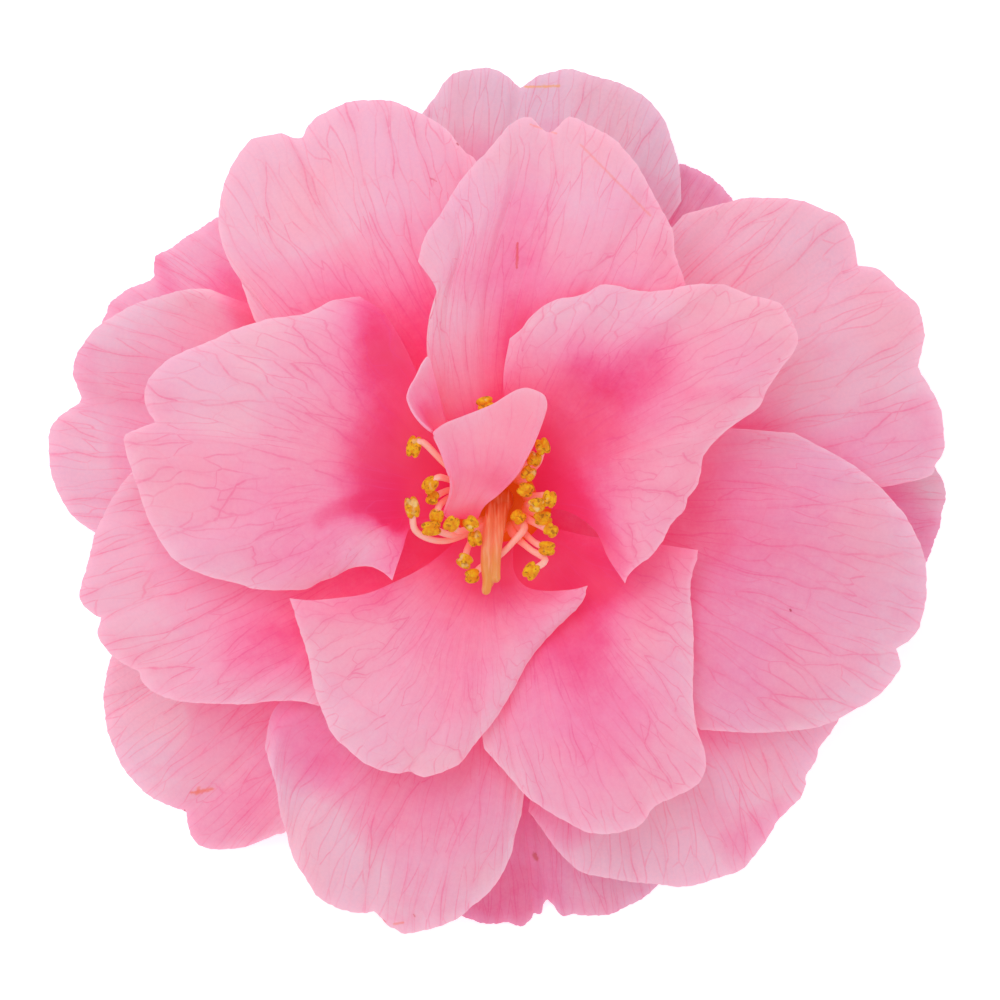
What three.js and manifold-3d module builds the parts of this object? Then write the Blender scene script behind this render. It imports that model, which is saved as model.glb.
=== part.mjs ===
// Camellia flower: one semi-double bloom, picked and laid face up on its calyx and back petals.
// Millimetres, +Z up. The origin is the middle of the flat scar under the receptacle.
import * as THREE from 'three';
import { mergeVertices } from 'three/addons/utils/BufferGeometryUtils.js';
import Module from 'manifold-3d';

const wasm = await Module();
wasm.setup();

// ---- Driving dimensions ----------------------------------------------------------------------

const BLADE = 0.62; // thickness of a petal
const SEPAL_BLADE = 0.9; // thickness of a sepal

// The petals grow in seven tiers, one above the other, from the receptacle's cone.
const TIERS = 7;
const CLAW_RADIUS = [8.2, 4.6]; // claw distance from the axis, lowest tier and top tier
const CLAW_HEIGHT = [6.6, 13.8]; // claw height, lowest tier and top tier
const CLAW_HALF_WIDTH = 2.9; // half the width of a petal where it grows from the receptacle
const RISE = [0.8, 15.6]; // how far a petal climbs on its way out, lowest and top tier
const RISE_RUN = [14, 11]; // run in which most of the climb is done
const SAG = 4.8; // how far the lowest tier sinks again on its way out
const SWELL = [1, 0.7]; // two-sided and three-sided unevenness of the whole bloom at its rim
const SWELL_TURN = [0.6, -1]; // turn of each unevenness, radians
const REACH = 46; // run from claw to rim that the sag is stated for

const SCAR_RADIUS = 2.4; // flat stalk scar that the flower rests on
const NECK_RADIUS = 2.8; // stalk end between the scar and the sepals
const RECEPTACLE_GAP = 0.45; // clearance between the receptacle and the claws

// Stamens: a ring of joined filaments that opens into separate ones, each with an anther.
const TUBE_RADIUS = [2.7, 4.1];
const TUBE_HEIGHT = [15.15, 17.6];
const FILAMENT_RADIUS = 0.42;
const ANTHER_SIZE = [0.95, 0.85, 0.8]; // half length, half width and half depth
const ANTHER_TURN = 2.4; // radians from one anther to the next, so that no two lie alike

// ---- Petals ----------------------------------------------------------------------------------
// tier   1 is the lowest layer
// axis   direction of the claw, degrees anticlockwise from +X
// right, rim, left   outline [x, y] seen from above: the right side from the claw outwards, the rim
//        anticlockwise from the right corner to the left one, the left side from the claw outwards
// folds  [rim point, height, width, power]: a ridge (+) or crease (-) that runs from the claw to that
//        rim point, as wide as that many rim points, growing along the blade with that power
// wave   [height, crests, phase] of the waved rim
// cup    how far both sides are raised, curl how far the last of the rim turns down
// droop  how much further the rim hangs than its tier's

const PETALS = [
  {
    name: 'petal_inner_left', tier: 7, axis: 170,
    right: [[-9, 8.5], [-12, 14], [-14.4, 19.5]],
    rim: [
      [-17, 24.2], [-23.2, 22.5], [-29, 21.1], [-34.7, 18.9], [-39.4, 16.8], [-42.2, 13.4],
      [-41.1, 9.3], [-44.4, 7.6], [-44.4, 4], [-42, -2.2], [-38.4, -7.4], [-32, -9.8],
      [-26, -10.7], [-21.2, -9.6], [-16, -7.9], [-12.9, -9.7],
    ],
    left: [[-8, -4], [-11, -6.6]],
    folds: [[6, -1.6, 1, 2], [0, -3, 2.2, 2], [15, 1.8, 1.2, 3], [12, -1.2, 2, 3]],
    wave: [0.5, 3, 0.4], cup: 0.6, curl: 2.4, droop: 0,
  },
  {
    name: 'petal_inner_right', tier: 7, axis: 25,
    right: [[8.5, -1.6], [12.2, -4.6]],
    rim: [
      [14.9, -9.9], [18.1, -6.7], [20.5, -2.7], [22.6, 0.3], [24.1, 4.4], [28, 9], [31.6, 12.5],
      [34.6, 16.8], [35.4, 20], [33.3, 23.3], [28, 25.3], [22.9, 25.7], [17.5, 24.9],
      [12.6, 25.8], [6.7, 23.9], [3.4, 21.6], [1.2, 19.3],
    ],
    left: [[1, 9], [0.4, 14.5]],
    folds: [[0, 1.8, 1.5, 3], [6.5, -2.6, 1.6, 1.5], [12, -0.9, 1, 3]],
    wave: [0.5, 3, 1.2], cup: 0.8, curl: 2, droop: 0,
  },
  {
    name: 'petal_inner_bottom', tier: 6, axis: 256,
    right: [[-8.5, -7.6], [-13, -10], [-19.2, -11.5]],
    rim: [
      [-24.6, -11.5], [-23.9, -16.5], [-22.3, -22], [-20.6, -27], [-17.4, -30.8], [-13, -32.6],
      [-10.8, -32.2], [-8.5, -33], [-4.8, -31.5], [-2, -27.8], [1, -23.6], [4.2, -18], [8, -14],
      [10.5, -10.3],
    ],
    left: [[2.2, -8.6], [3.6, -10.7], [6.5, -11]],
    folds: [[0, 1.6, 1.5, 3], [6, -1, 1, 2.5], [13, 2, 1.5, 3]],
    wave: [0.4, 3, 0.2], cup: 0.6, curl: 2.2, droop: 0,
  },
  {
    name: 'petal_inner_top', tier: 6, axis: 84,
    right: [[9, 12], [16, 19]],
    rim: [
      [21.8, 25.8], [20.9, 30.5], [19.6, 34.2], [17, 39], [13.6, 43.2], [9.2, 45.7], [7.2, 45],
      [6, 44], [3.6, 45.8], [0.8, 44.6], [-2.8, 40.5], [-6.4, 35.5], [-9.6, 31],
    ],
    left: [[-6.6, 10.4], [-8.5, 15.5], [-8.6, 20.8], [-7.7, 24.6], [-9.6, 28]],
    folds: [[7.4, -3.4, 1.6, 1.2], [12, 1.5, 2, 2]],
    wave: [0.4, 2, 0.5], cup: 0.8, curl: 1.4, droop: 0,
  },
  {
    name: 'petal_inner_low_right', tier: 5, axis: 300,
    right: [[-1, -13], [-2.8, -22]],
    rim: [
      [-2.2, -29.4], [1.9, -34], [6.1, -37.5], [10.1, -39.7], [14.2, -39.8], [17.6, -37],
      [22.2, -35.2], [24.6, -31.6], [23.6, -27.6], [23.1, -21.5], [22.9, -15], [22.8, -11],
      [23.8, -6.2],
    ],
    left: [[11, -4.4], [18, -5.2]],
    folds: [[5, -1.4, 1, 2.5], [12, 1.6, 1.4, 3]],
    wave: [0.5, 3, 0.9], cup: 0.6, curl: 1.8, droop: 1,
  },
  {
    name: 'petal_middle_upper_left', tier: 5, axis: 120,
    right: [[0, 15], [-0.5, 27]],
    rim: [
      [-1.5, 36], [-3, 40.8], [-8, 45.5], [-12.4, 47.5], [-17.9, 47.8], [-22, 46], [-24.2, 43.3],
      [-28.1, 43.7], [-32.1, 40.3], [-33.8, 33.6], [-32.3, 28.3], [-29.6, 21.6],
    ],
    left: [[-13, 8.5], [-23, 14]],
    folds: [[6, -1.6, 1, 2], [2.5, -1, 1.4, 2]],
    wave: [0.6, 3, 2], cup: 0.4, curl: 1.8, droop: 1.5,
  },
  {
    name: 'petal_middle_lower_left', tier: 5, axis: 197,
    right: [[-18, 4.4], [-31, 5.4]],
    rim: [
      [-42, 4.4], [-47.2, -1.3], [-49.2, -7], [-50.4, -11.6], [-47.9, -14.1], [-48.1, -16.8],
      [-45.2, -19.8], [-42.8, -21.6], [-36.3, -24.3], [-28, -24.1], [-21.7, -24.7],
    ],
    left: [[-9, -11.5], [-15, -19.5]],
    folds: [[4, -1.4, 1, 2], [7, -0.8, 1, 3]],
    wave: [0.5, 3, 0.5], cup: 0.4, curl: 1.6, droop: 2,
  },
  {
    name: 'petal_middle_right', tier: 4, axis: 344,
    right: [[10, -12], [17, -21]],
    rim: [
      [24, -27.6], [29.3, -27.9], [35, -27.7], [40.7, -26.3], [44, -24.4], [47.9, -20.5],
      [47.5, -17.9], [49.3, -16.8], [51.2, -11.6], [50.4, -5.3], [46.8, 0.4], [41, 5], [35.2, 8],
    ],
    left: [[15, 5], [25, 8.4]],
    folds: [[6, -1.6, 1, 2], [10, 0.8, 2, 2]],
    wave: [0.6, 3, 1.4], cup: 0.4, curl: 1.6, droop: 2,
  },
  {
    name: 'petal_middle_left', tier: 4, axis: 167,
    right: [[-15, 12], [-25, 21]],
    rim: [
      [-34.9, 25.3], [-41.1, 24.4], [-47.5, 21.4], [-50.9, 17.2], [-50.2, 12.1], [-53.3, 9.7],
      [-54.2, 5.6], [-53, 0.8], [-50, -3], [-44, -5],
    ],
    left: [[-17, -4.5], [-30, -6]],
    folds: [[4, -2, 1, 1.6]],
    wave: [0.4, 3, 0.8], cup: 0.2, curl: 1.5, droop: 3.5,
  },
  {
    name: 'petal_middle_bottom', tier: 4, axis: 255,
    right: [[-13, -13.5], [-22, -21.5]],
    rim: [
      [-28, -29], [-26.7, -35.3], [-25.5, -41], [-22.3, -47.2], [-18.4, -49.5], [-15.2, -49.3],
      [-11.5, -52.1], [-6.1, -50.7], [-1.9, -47.6], [1, -43.5], [2.4, -38],
    ],
    left: [[3, -16], [3.6, -28]],
    folds: [[5, -1.2, 1, 2.5], [9, 0.6, 1.5, 3]],
    wave: [0.6, 3, 0.3], cup: 0.2, curl: 1.6, droop: 4,
  },
  {
    name: 'petal_middle_upper_right', tier: 3, axis: 33,
    right: [[19, -0.5], [34, 0]],
    rim: [
      [47, 1.8], [52.3, 4.3], [53.5, 7], [52.6, 11.6], [50.2, 15.9], [51.1, 20], [49.6, 24.1],
      [46, 27.4], [43, 28.2], [42.3, 32], [38.7, 35], [33.6, 36.3], [28.1, 36], [22, 34.2],
    ],
    left: [[9, 15], [15, 26]],
    folds: [[4, -1.4, 1, 2.5], [8, -1.6, 1, 2]],
    wave: [0.5, 3, 0], cup: 0.2, curl: 1.5, droop: 2.5,
  },
  {
    name: 'petal_outer_lower_right', tier: 3, axis: 308,
    right: [[4.5, -16], [5, -28]],
    rim: [
      [3.4, -37.4], [7.2, -42.5], [12, -45.3], [19.5, -46.3], [26.7, -45.4], [31, -42.4],
      [34.5, -37.7], [36.9, -33.4], [39.5, -28.5], [40.6, -23],
    ],
    left: [[18, -6.5], [31, -12.5]],
    folds: [[6, -2.4, 1, 1.4]],
    wave: [0.5, 2, 0.6], cup: 0.2, curl: 1.4, droop: 4,
  },
  {
    name: 'petal_outer_upper_left', tier: 3, axis: 147,
    right: [[-14, 17.5], [-24, 28]],
    rim: [
      [-31, 34], [-36.5, 33], [-41.2, 29.6], [-41.6, 26.9], [-46.1, 24.5], [-48, 20.8],
      [-47, 15.5],
    ],
    left: [[-20, 5.5], [-35, 9.5]],
    folds: [[3, -1.2, 0.8, 3]],
    wave: [0.3, 2, 0.4], cup: 0, curl: 0.8, droop: 10.7,
  },
  {
    name: 'petal_outer_lower_left', tier: 3, axis: 225,
    right: [[-19, -7], [-34, -12]],
    rim: [
      [-46.4, -17.8], [-47.8, -24.1], [-46.3, -30.5], [-42.5, -35.4], [-37.8, -37.4],
      [-36.9, -41], [-33.3, -42.1], [-28.3, -40.9], [-23.5, -36],
    ],
    left: [[-8, -15], [-15, -26]],
    folds: [[4, -1.4, 0.9, 2]],
    wave: [0.4, 2, 1], cup: 0, curl: 1, droop: 8.6,
  },
  {
    name: 'petal_outer_top', tier: 2, axis: 86,
    right: [[9.5, 16], [16, 27]],
    rim: [
      [21.4, 36], [21.3, 41], [19.5, 46.3], [15.5, 49.8], [10.1, 51.5], [5.5, 51.5], [2.5, 49.6],
      [0, 51.6], [-4, 51.8], [-7, 50], [-9.6, 46.2],
    ],
    left: [[-6, 18], [-9.5, 32]],
    folds: [[6, -1.6, 1, 1.8]],
    wave: [0.5, 3, 0.2], cup: 0, curl: 1.2, droop: 3.4,
  },
  {
    name: 'petal_back_right', tier: 2, axis: 0,
    right: [[20, -9], [35, -14]],
    rim: [
      [45, -16], [49.5, -12], [52, -7], [53.6, -1], [53, 2.6], [50, 7], [44, 10],
    ],
    left: [[20, 8], [32, 10]],
    folds: [],
    wave: [0.3, 2, 0.4], cup: 0, curl: 0.7, droop: 5.7,
  },
  {
    name: 'petal_back_bottom', tier: 2, axis: 277,
    right: [[-5, -19], [-8, -34]],
    rim: [
      [-8, -46], [-3, -50.8], [2.6, -51.3], [4.5, -49.9], [5.7, -48.1], [7.6, -50.1], [12, -50.1],
      [16.5, -48.4], [19.8, -45.6],
    ],
    left: [[9.5, -18], [16.5, -32]],
    folds: [[4, -0.8, 0.8, 3]],
    wave: [0.3, 2, 0.7], cup: 0, curl: 0.7, droop: 6.2,
  },
  {
    name: 'petal_back_upper_right', tier: 1, axis: 56,
    right: [[14, 14], [23, 25]],
    rim: [[28.5, 31.5], [28.6, 35.5], [26.4, 38.2], [22.5, 40.3], [18, 38.5]],
    left: [[7.5, 18], [12.5, 29]],
    folds: [],
    wave: [0.2, 2, 0.4], cup: 0, curl: 0.5, droop: 5.4,
  },
];

// The petaloid stands on the stamen ring and leans back over it. Its blade and the lobe that grows
// from the blade's left corner are fans from a claw to a rim, all points [x, y, z].
const PETALOID_BLADE = {
  claw: [[-3, -1.8, 18.3], [-4.8, -1.2, 18.3]],
  rim: [
    [-1.2, -1.4, 22.8], [-0.3, 0.3, 24.2], [1.6, 2.7, 26], [3.6, 6, 27.3], [5.3, 10, 28.2],
    [5.3, 12.3, 28.4], [3.2, 13.4, 28], [0.8, 12.5, 27], [-2.7, 10.7, 25.8], [-6.3, 9.6, 25.6],
    [-7.6, 8.4, 26.6], [-6.8, 6.8, 26.8], [-6.5, 4.4, 26], [-5.2, 2, 24.8], [-5.6, 0.4, 23.6],
    [-6, -1.2, 22.2],
  ],
  lift: 1.2, // how far the blade bulges upwards between claw and rim
};
const PETALOID_LOBE = {
  claw: [[-6.9, 6.9, 26.7], [-5.9, 9.3, 25.8]],
  rim: [
    [-8.4, 8.3, 27.6], [-10.3, 10.3, 28], [-11.1, 12.4, 28], [-10, 14.8, 27.8], [-8.6, 17, 27],
    [-8.3, 13, 25.6], [-7.2, 10, 25],
  ],
  lift: -0.9,
};

// ---- Stamens ---------------------------------------------------------------------------------
// root   degrees round the ring where the filament leaves it, anticlockwise from +X
// way    points [x, y, z] that the filament passes, the last one its anther

const STAMENS = [
  { root: 5, way: [[5.2, 0.6, 22], [5.9, 0.1, 25.2]] },
  { root: 350, way: [[4, -0.5, 22.5], [4.4, -0.6, 26]] },
  { root: 25, way: [[3.3, 1.3, 21.5], [3.1, 1.2, 24.2]] },
  { root: 42, way: [[3.4, 2.7, 21.8], [3.4, 3.2, 24.6]] },
  { root: 58, way: [[3.2, 4.1, 21.2], [4.1, 4.9, 24.2]] },
  { root: 50, way: [[4.4, 4.2, 21], [5.1, 6.4, 24.8]] },
  { root: 75, way: [[0.9, 4.8, 20.2], [0.9, 6.8, 22.2]] },
  { root: 100, way: [[-1.2, 7, 20.6], [-1.7, 11.6, 24]] },
  { root: 122, way: [[-2.8, 4.5, 20], [-3.4, 6.2, 22]] },
  { root: 142, way: [[-6, 3.8, 22.2], [-9.2, 6.9, 25.2], [-10.3, 6.2, 25]] },
  { root: 152, way: [[-5.9, 2.4, 21], [-7.4, 2.7, 24.4], [-8.5, 1.7, 24.8]] },
  { root: 160, way: [[-6, 1.2, 19.6], [-8.2, 0.2, 23.2]] },
  { root: 237, way: [[-6.5, -4.9, 21.2], [-10, -3.8, 23.4], [-10.6, -0.9, 25]] },
  { root: 170, way: [[-5.7, 0.4, 18.8], [-7.2, -0.6, 21.8], [-7.7, -1.9, 24.2]] },
  { root: 233, way: [[-5.4, -4.2, 21.2], [-8.3, -3.4, 25]] },
  { root: 229, way: [[-4.7, -3.7, 21.4], [-5.7, -3, 26]] },
  { root: 242, way: [[-3.1, -3.7, 21.4], [-3.4, -2.9, 25.2]] },
  { root: 240, way: [[-3.1, -4.8, 20.4], [-3.2, -4.8, 23.8]] },
  { root: 232, way: [[-3.8, -5.6, 20.4], [-4.3, -7.4, 24]] },
  { root: 246, way: [[-2.9, -6.6, 19.8], [-3.4, -9.2, 23.2]] },
  { root: 290, way: [[2.3, -6, 21.4], [4.7, -7.3, 23.8], [3.7, -8.5, 24.4]] },
  { root: 304, way: [[3.9, -4.9, 20.6], [5.6, -5.8, 24]] },
  { root: 325, way: [[4.6, -3, 21.4], [6.2, -3.6, 25]] },
  { root: 340, way: [[4.6, -1.8, 20.4], [5.2, -2.2, 23.4]] },
  { root: 315, way: [[2.5, -2.6, 18.6], [2.2, -2, 20.6]] },
];

// Style: the way of its core from the ovary, leaning towards -Y.
const OVARY_RADIUS = 1.7;
const STYLE_RADIUS = 1.15;
const STYLE_PATH = [[0, 0, 16.9], [-0.4, -1.6, 19], [-0.9, -4.6, 22.4], [-1.1, -7.6, 24.6]];
const ARM_RADIUS = 0.5;
const STYLE_ARMS = [[-1.8, -11.4, 26], [-0.4, -9.8, 25.8], [-1.4, -10.6, 24.8]]; // their tips

// ---- Calyx -----------------------------------------------------------------------------------
const SEPALS = 5;
const SEPAL_STEPS = [0, 1.3, 0, 1.3, 2.6]; // each sepal's height over the lowest, so they overlap
const SEPAL_ROOT = 3.4; // distance from the axis where a sepal starts
const SEPAL_LENGTH = 12; // and where it ends
const SEPAL_BASE = 1;
const SEPAL_CUP = 1.6;
const SEPAL_HALF_ANGLE = 47;

// ---- Materials -------------------------------------------------------------------------------

const PETAL_PINK = new THREE.MeshStandardMaterial({
  color: 0xf79ab5, roughness: 0.55, metalness: 0, side: THREE.DoubleSide,
});
const STAMEN_YELLOW = new THREE.MeshStandardMaterial({
  color: 0xe8a826, roughness: 0.75, metalness: 0,
});
const PISTIL_ORANGE = new THREE.MeshStandardMaterial({
  color: 0xee8f62, roughness: 0.5, metalness: 0,
});
const CALYX_GREEN = new THREE.MeshStandardMaterial({
  color: 0x8a8f4e, roughness: 0.6, metalness: 0,
});

const radians = THREE.MathUtils.degToRad;
const mix = THREE.MathUtils.lerp;

// ---- Blades: thin closed solids over a grid from claw to rim ----------------------------------

const CLAW_TO_RIM = [0, 0.07, 0.17, 0.31, 0.49, 0.7, 0.87, 1]; // rows of a petal, close at the claw

// A closed blade round the mid surface point(row, column), columns running anticlockwise.
function bladeSolid(rows, columns, thickness, point) {
  const sheet = new THREE.BufferGeometry();
  const positions = [];
  for (let row = 0; row < rows; row += 1) {
    for (let column = 0; column < columns; column += 1) {
      positions.push(...point(row, column).toArray());
    }
  }
  const at = (row, column) => row * columns + column;
  const faces = [];
  for (let row = 0; row + 1 < rows; row += 1) {
    for (let column = 0; column + 1 < columns; column += 1) {
      faces.push(at(row, column), at(row + 1, column), at(row + 1, column + 1));
      faces.push(at(row, column), at(row + 1, column + 1), at(row, column + 1));
    }
  }
  sheet.setAttribute('position', new THREE.Float32BufferAttribute(positions, 3));
  sheet.setIndex(faces);
  sheet.computeVertexNormals();

  const count = rows * columns;
  const normals = sheet.attributes.normal;
  const vertices = new Float32Array(count * 6);
  for (let i = 0; i < count; i += 1) {
    const middle = new THREE.Vector3().fromBufferAttribute(sheet.attributes.position, i);
    const half = new THREE.Vector3().fromBufferAttribute(normals, i).multiplyScalar(thickness / 2);
    vertices.set(middle.clone().add(half).toArray(), i * 3);
    vertices.set(middle.clone().sub(half).toArray(), (count + i) * 3);
  }

  const solid = [...faces];
  for (let i = 0; i < faces.length; i += 3) {
    solid.push(faces[i] + count, faces[i + 2] + count, faces[i + 1] + count);
  }
  const border = [];
  for (let row = 0; row + 1 < rows; row += 1) {
    border.push(at(row, 0));
  }
  for (let column = 0; column + 1 < columns; column += 1) {
    border.push(at(rows - 1, column));
  }
  for (let row = rows - 1; row > 0; row -= 1) {
    border.push(at(row, columns - 1));
  }
  for (let column = columns - 1; column > 0; column -= 1) {
    border.push(at(0, column));
  }
  border.forEach((a, i) => {
    const b = border[(i + 1) % border.length];
    solid.push(a, a + count, b + count, a, b + count, b);
  });
  const geometry = new THREE.BufferGeometry();
  geometry.setAttribute('position', new THREE.BufferAttribute(vertices, 3));
  geometry.setIndex(solid);
  return geometry;
}

// Height of a smooth tier surface at a distance from the axis, level 0 lowest and 1 top.
// It rises with the level at every distance, so blades of different tiers never meet.
function tierHeight(distance, level) {
  const run = Math.max(distance - mix(...CLAW_RADIUS, level), 0);
  const climb = mix(...RISE, level) * (1 - Math.exp(-run / mix(...RISE_RUN, level)));
  const sag = SAG * (1 - level) * (run / REACH) ** 2;
  return mix(...CLAW_HEIGHT, level) + climb - sag;
}

// Point [x, y] at (s, t) of the patch between a petal's four borders: claw, sides and rim.
function patch(borders, s, t) {
  const { claw, right, left, rim } = borders;
  const [from, to] = [claw(t), rim(t)];
  const [start, end] = [right(s), left(s)];
  const corners = [right(0), right(1), left(0), left(1)];
  return [0, 1].map((k) => {
    const ruled = mix(start[k], end[k], t) + mix(from[k], to[k], s);
    return ruled - mix(mix(corners[0][k], corners[1][k], s), mix(corners[2][k], corners[3][k], s), t);
  });
}

// Uneven rise of the whole bloom in the direction of a point, the same for every petal.
function bloomSwell(x, y) {
  const angle = Math.atan2(y, x);
  const twoSided = SWELL[0] * Math.sin(2 * angle + SWELL_TURN[0]);
  return twoSided + SWELL[1] * Math.sin(3 * angle + SWELL_TURN[1]);
}

// A smooth side from claw to rim as a function of the share of its length.
function sideCurve(points) {
  const vectors = points.map(([x, y]) => new THREE.Vector3(x, y, 0));
  const curve = new THREE.CatmullRomCurve3(vectors, false, 'catmullrom', 0.5);
  return (share) => curve.getPointAt(share).toArray();
}

function petalGeometry(petal) {
  const { tier, axis, right, rim, left, folds, wave, cup, curl, droop } = petal;
  const level = (tier - 1) / (TIERS - 1);
  const clawRadius = mix(...CLAW_RADIUS, level);
  const clawHalfAngle = CLAW_HALF_WIDTH / clawRadius;
  const last = rim.length - 1;
  const claw = (t) => {
    const angle = radians(axis) + mix(-clawHalfAngle, clawHalfAngle, t);
    return [clawRadius * Math.cos(angle), clawRadius * Math.sin(angle)];
  };
  const borders = {
    claw,
    right: sideCurve([claw(0), ...right, rim[0]]),
    left: sideCurve([claw(1), ...left, rim[last]]),
    rim: (t) => rim[Math.round(t * last)],
  };
  return bladeSolid(CLAW_TO_RIM.length, rim.length, BLADE, (row, column) => {
    const s = CLAW_TO_RIM[row];
    const t = column / last;
    const [x, y] = patch(borders, s, t);
    const distance = Math.hypot(x, y);
    const run = Math.max(distance - clawRadius, 0) / REACH;
    let z = tierHeight(distance, level) + (bloomSwell(x, y) - droop) * run ** 2;
    for (const [place, height, width, power] of folds) {
      z += height * s ** power * Math.exp(-(((column - place) / width) ** 2));
    }
    z += wave[0] * s ** 3 * Math.sin(2 * Math.PI * wave[1] * t + wave[2]);
    z += cup * s ** 2 * (2 * t - 1) ** 4;
    z -= curl * s ** 6;
    return new THREE.Vector3(x, y, z);
  });
}

function fanGeometry({ claw, rim, lift }) {
  const rows = [0, 0.2, 0.42, 0.62, 0.82, 1];
  const from = new THREE.Vector3(...claw[0]);
  const to = new THREE.Vector3(...claw[1]);
  return bladeSolid(rows.length, rim.length, BLADE, (row, column) => {
    const s = rows[row];
    const foot = from.clone().lerp(to, column / (rim.length - 1));
    const point = foot.lerp(new THREE.Vector3(...rim[column]), s);
    point.z += lift * Math.sin(Math.PI * s);
    return point;
  });
}

function sepalGeometry(index) {
  const rows = [0, 0.25, 0.5, 0.75, 0.92, 1];
  const columns = 9;
  const turn = radians(360 / SEPALS) * index;
  return bladeSolid(rows.length, columns, SEPAL_BLADE, (row, column) => {
    const s = rows[row];
    const across = (2 * column) / (columns - 1) - 1;
    const length = SEPAL_LENGTH * Math.sqrt(1 - 0.55 * across ** 4);
    const angle = turn + radians(SEPAL_HALF_ANGLE) * across * Math.sin(Math.PI * (0.25 + 0.35 * s));
    const distance = mix(SEPAL_ROOT, length, s);
    const out = (distance - SEPAL_ROOT) / (SEPAL_LENGTH - SEPAL_ROOT);
    const z = SEPAL_BASE + SEPAL_STEPS[index] + SEPAL_CUP * Math.sin(1.9 * out);
    return new THREE.Vector3(distance * Math.cos(angle), distance * Math.sin(angle), z);
  });
}

// ---- Solids joined by union ------------------------------------------------------------------

function toSolid(geometry) {
  const bare = geometry.clone();
  bare.deleteAttribute('normal');
  bare.deleteAttribute('uv');
  const merged = mergeVertices(bare, 1e-4);
  return new wasm.Manifold(new wasm.Mesh({
    numProp: 3,
    vertProperties: new Float32Array(merged.attributes.position.array),
    triVerts: new Uint32Array(merged.index.array),
  }));
}

function toGeometry(solid) {
  const mesh = solid.getMesh();
  const geometry = new THREE.BufferGeometry();
  geometry.setAttribute('position', new THREE.BufferAttribute(mesh.vertProperties, 3));
  geometry.setIndex(new THREE.BufferAttribute(mesh.triVerts, 1));
  return geometry;
}

function join(geometries) {
  let whole = toSolid(geometries[0]);
  for (const geometry of geometries.slice(1)) {
    whole = whole.add(toSolid(geometry));
  }
  return toGeometry(whole);
}

// A ring or knob turned round the Z axis from [radius, height] pairs.
function turned(profile, sides) {
  const points = profile.map(([radius, height]) => new THREE.Vector2(radius, height));
  return new THREE.LatheGeometry(points, sides).rotateX(Math.PI / 2);
}

// A rod of few sides along a curve through the given points.
function rod(points, radius, sides, steps) {
  const section = new THREE.Shape();
  for (let i = 0; i < sides; i += 1) {
    const angle = (2 * Math.PI * i) / sides;
    section[i ? 'lineTo' : 'moveTo'](radius * Math.cos(angle), radius * Math.sin(angle));
  }
  const way = new THREE.CatmullRomCurve3(points.map((p) => new THREE.Vector3(...p)));
  return new THREE.ExtrudeGeometry(section, { steps, extrudePath: way });
}

function petaloidGeometry() {
  return join([fanGeometry(PETALOID_BLADE), fanGeometry(PETALOID_LOBE)]);
}

function stamenGeometry() {
  const [inner, outer] = TUBE_RADIUS;
  const [foot, mouth] = TUBE_HEIGHT;
  const tube = turned([[inner, foot], [outer, foot], [outer, mouth], [inner, mouth], [inner, foot]], 20);
  const pieces = [tube];
  const middle = (inner + outer) / 2;
  STAMENS.forEach(({ root, way }, index) => {
    const angle = radians(root);
    const foot = [middle * Math.cos(angle), middle * Math.sin(angle)];
    pieces.push(rod([[...foot, mouth - 1.2], [...foot, mouth + 0.4], ...way], FILAMENT_RADIUS, 4, 4));
    const anther = new THREE.IcosahedronGeometry(1, 0);
    anther.scale(...ANTHER_SIZE);
    anther.rotateZ(index * ANTHER_TURN);
    anther.translate(...way[way.length - 1]);
    pieces.push(anther);
  });
  return join(pieces);
}

function pistilGeometry() {
  const ovary = new THREE.SphereGeometry(OVARY_RADIUS, 10, 6).rotateX(Math.PI / 2);
  ovary.translate(...STYLE_PATH[0]);
  const pieces = [ovary, rod(STYLE_PATH, STYLE_RADIUS, 8, 6)];
  for (const tip of STYLE_ARMS) {
    pieces.push(rod([...STYLE_PATH.slice(-2), tip], ARM_RADIUS, 5, 4));
  }
  return join(pieces);
}

function receptacleGeometry() {
  const [low, high] = CLAW_HEIGHT;
  const [wide, narrow] = CLAW_RADIUS;
  const inset = RECEPTACLE_GAP + BLADE / 2;
  const crown = TUBE_HEIGHT[0] - RECEPTACLE_GAP;
  return turned([
    [0, 0], [SCAR_RADIUS, 0], [NECK_RADIUS, 0.9], [NECK_RADIUS, low - 1.6],
    [wide - inset - 1, low - 0.6], [wide - inset, low], [narrow - inset, high],
    [narrow - inset - 0.3, crown], [0, crown],
  ], 24);
}

// ---- Assembly --------------------------------------------------------------------------------

function sepalMeshes() {
  const calyx = new THREE.Group();
  for (let index = 0; index < SEPALS; index += 1) {
    calyx.add(named(`sepal_${index + 1}`, sepalGeometry(index), CALYX_GREEN));
  }
  return calyx;
}

function named(name, geometry, material) {
  const mesh = new THREE.Mesh(geometry, material);
  mesh.name = name;
  return mesh;
}

const group = new THREE.Group();
const corolla = new THREE.Group();
for (const petal of PETALS) {
  corolla.add(named(petal.name, petalGeometry(petal), PETAL_PINK));
}
corolla.add(named('petaloid', petaloidGeometry(), PETAL_PINK));
group.add(corolla);
group.add(named('stamens', stamenGeometry(), STAMEN_YELLOW));
group.add(named('pistil', pistilGeometry(), PISTIL_ORANGE));
group.add(named('receptacle', receptacleGeometry(), CALYX_GREEN));
group.add(sepalMeshes());

export default group;
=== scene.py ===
# %% [markdown]
# # A camellia bloom
# A semi-double camellia has loose, overlapping petals in tiers, a ring of stamens that is joined at its
# foot, and a green calyx behind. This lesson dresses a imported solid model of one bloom: every part of it
# is made again with finer surfaces and gets a material built from nodes. Everything is in metres, and
# the flower rests at the origin on the scar of its stalk.

# %% Load the solid model that the pieces stand on
import math
from contextlib import contextmanager

import bpy
import numpy as np
from mathutils import Matrix


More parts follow.
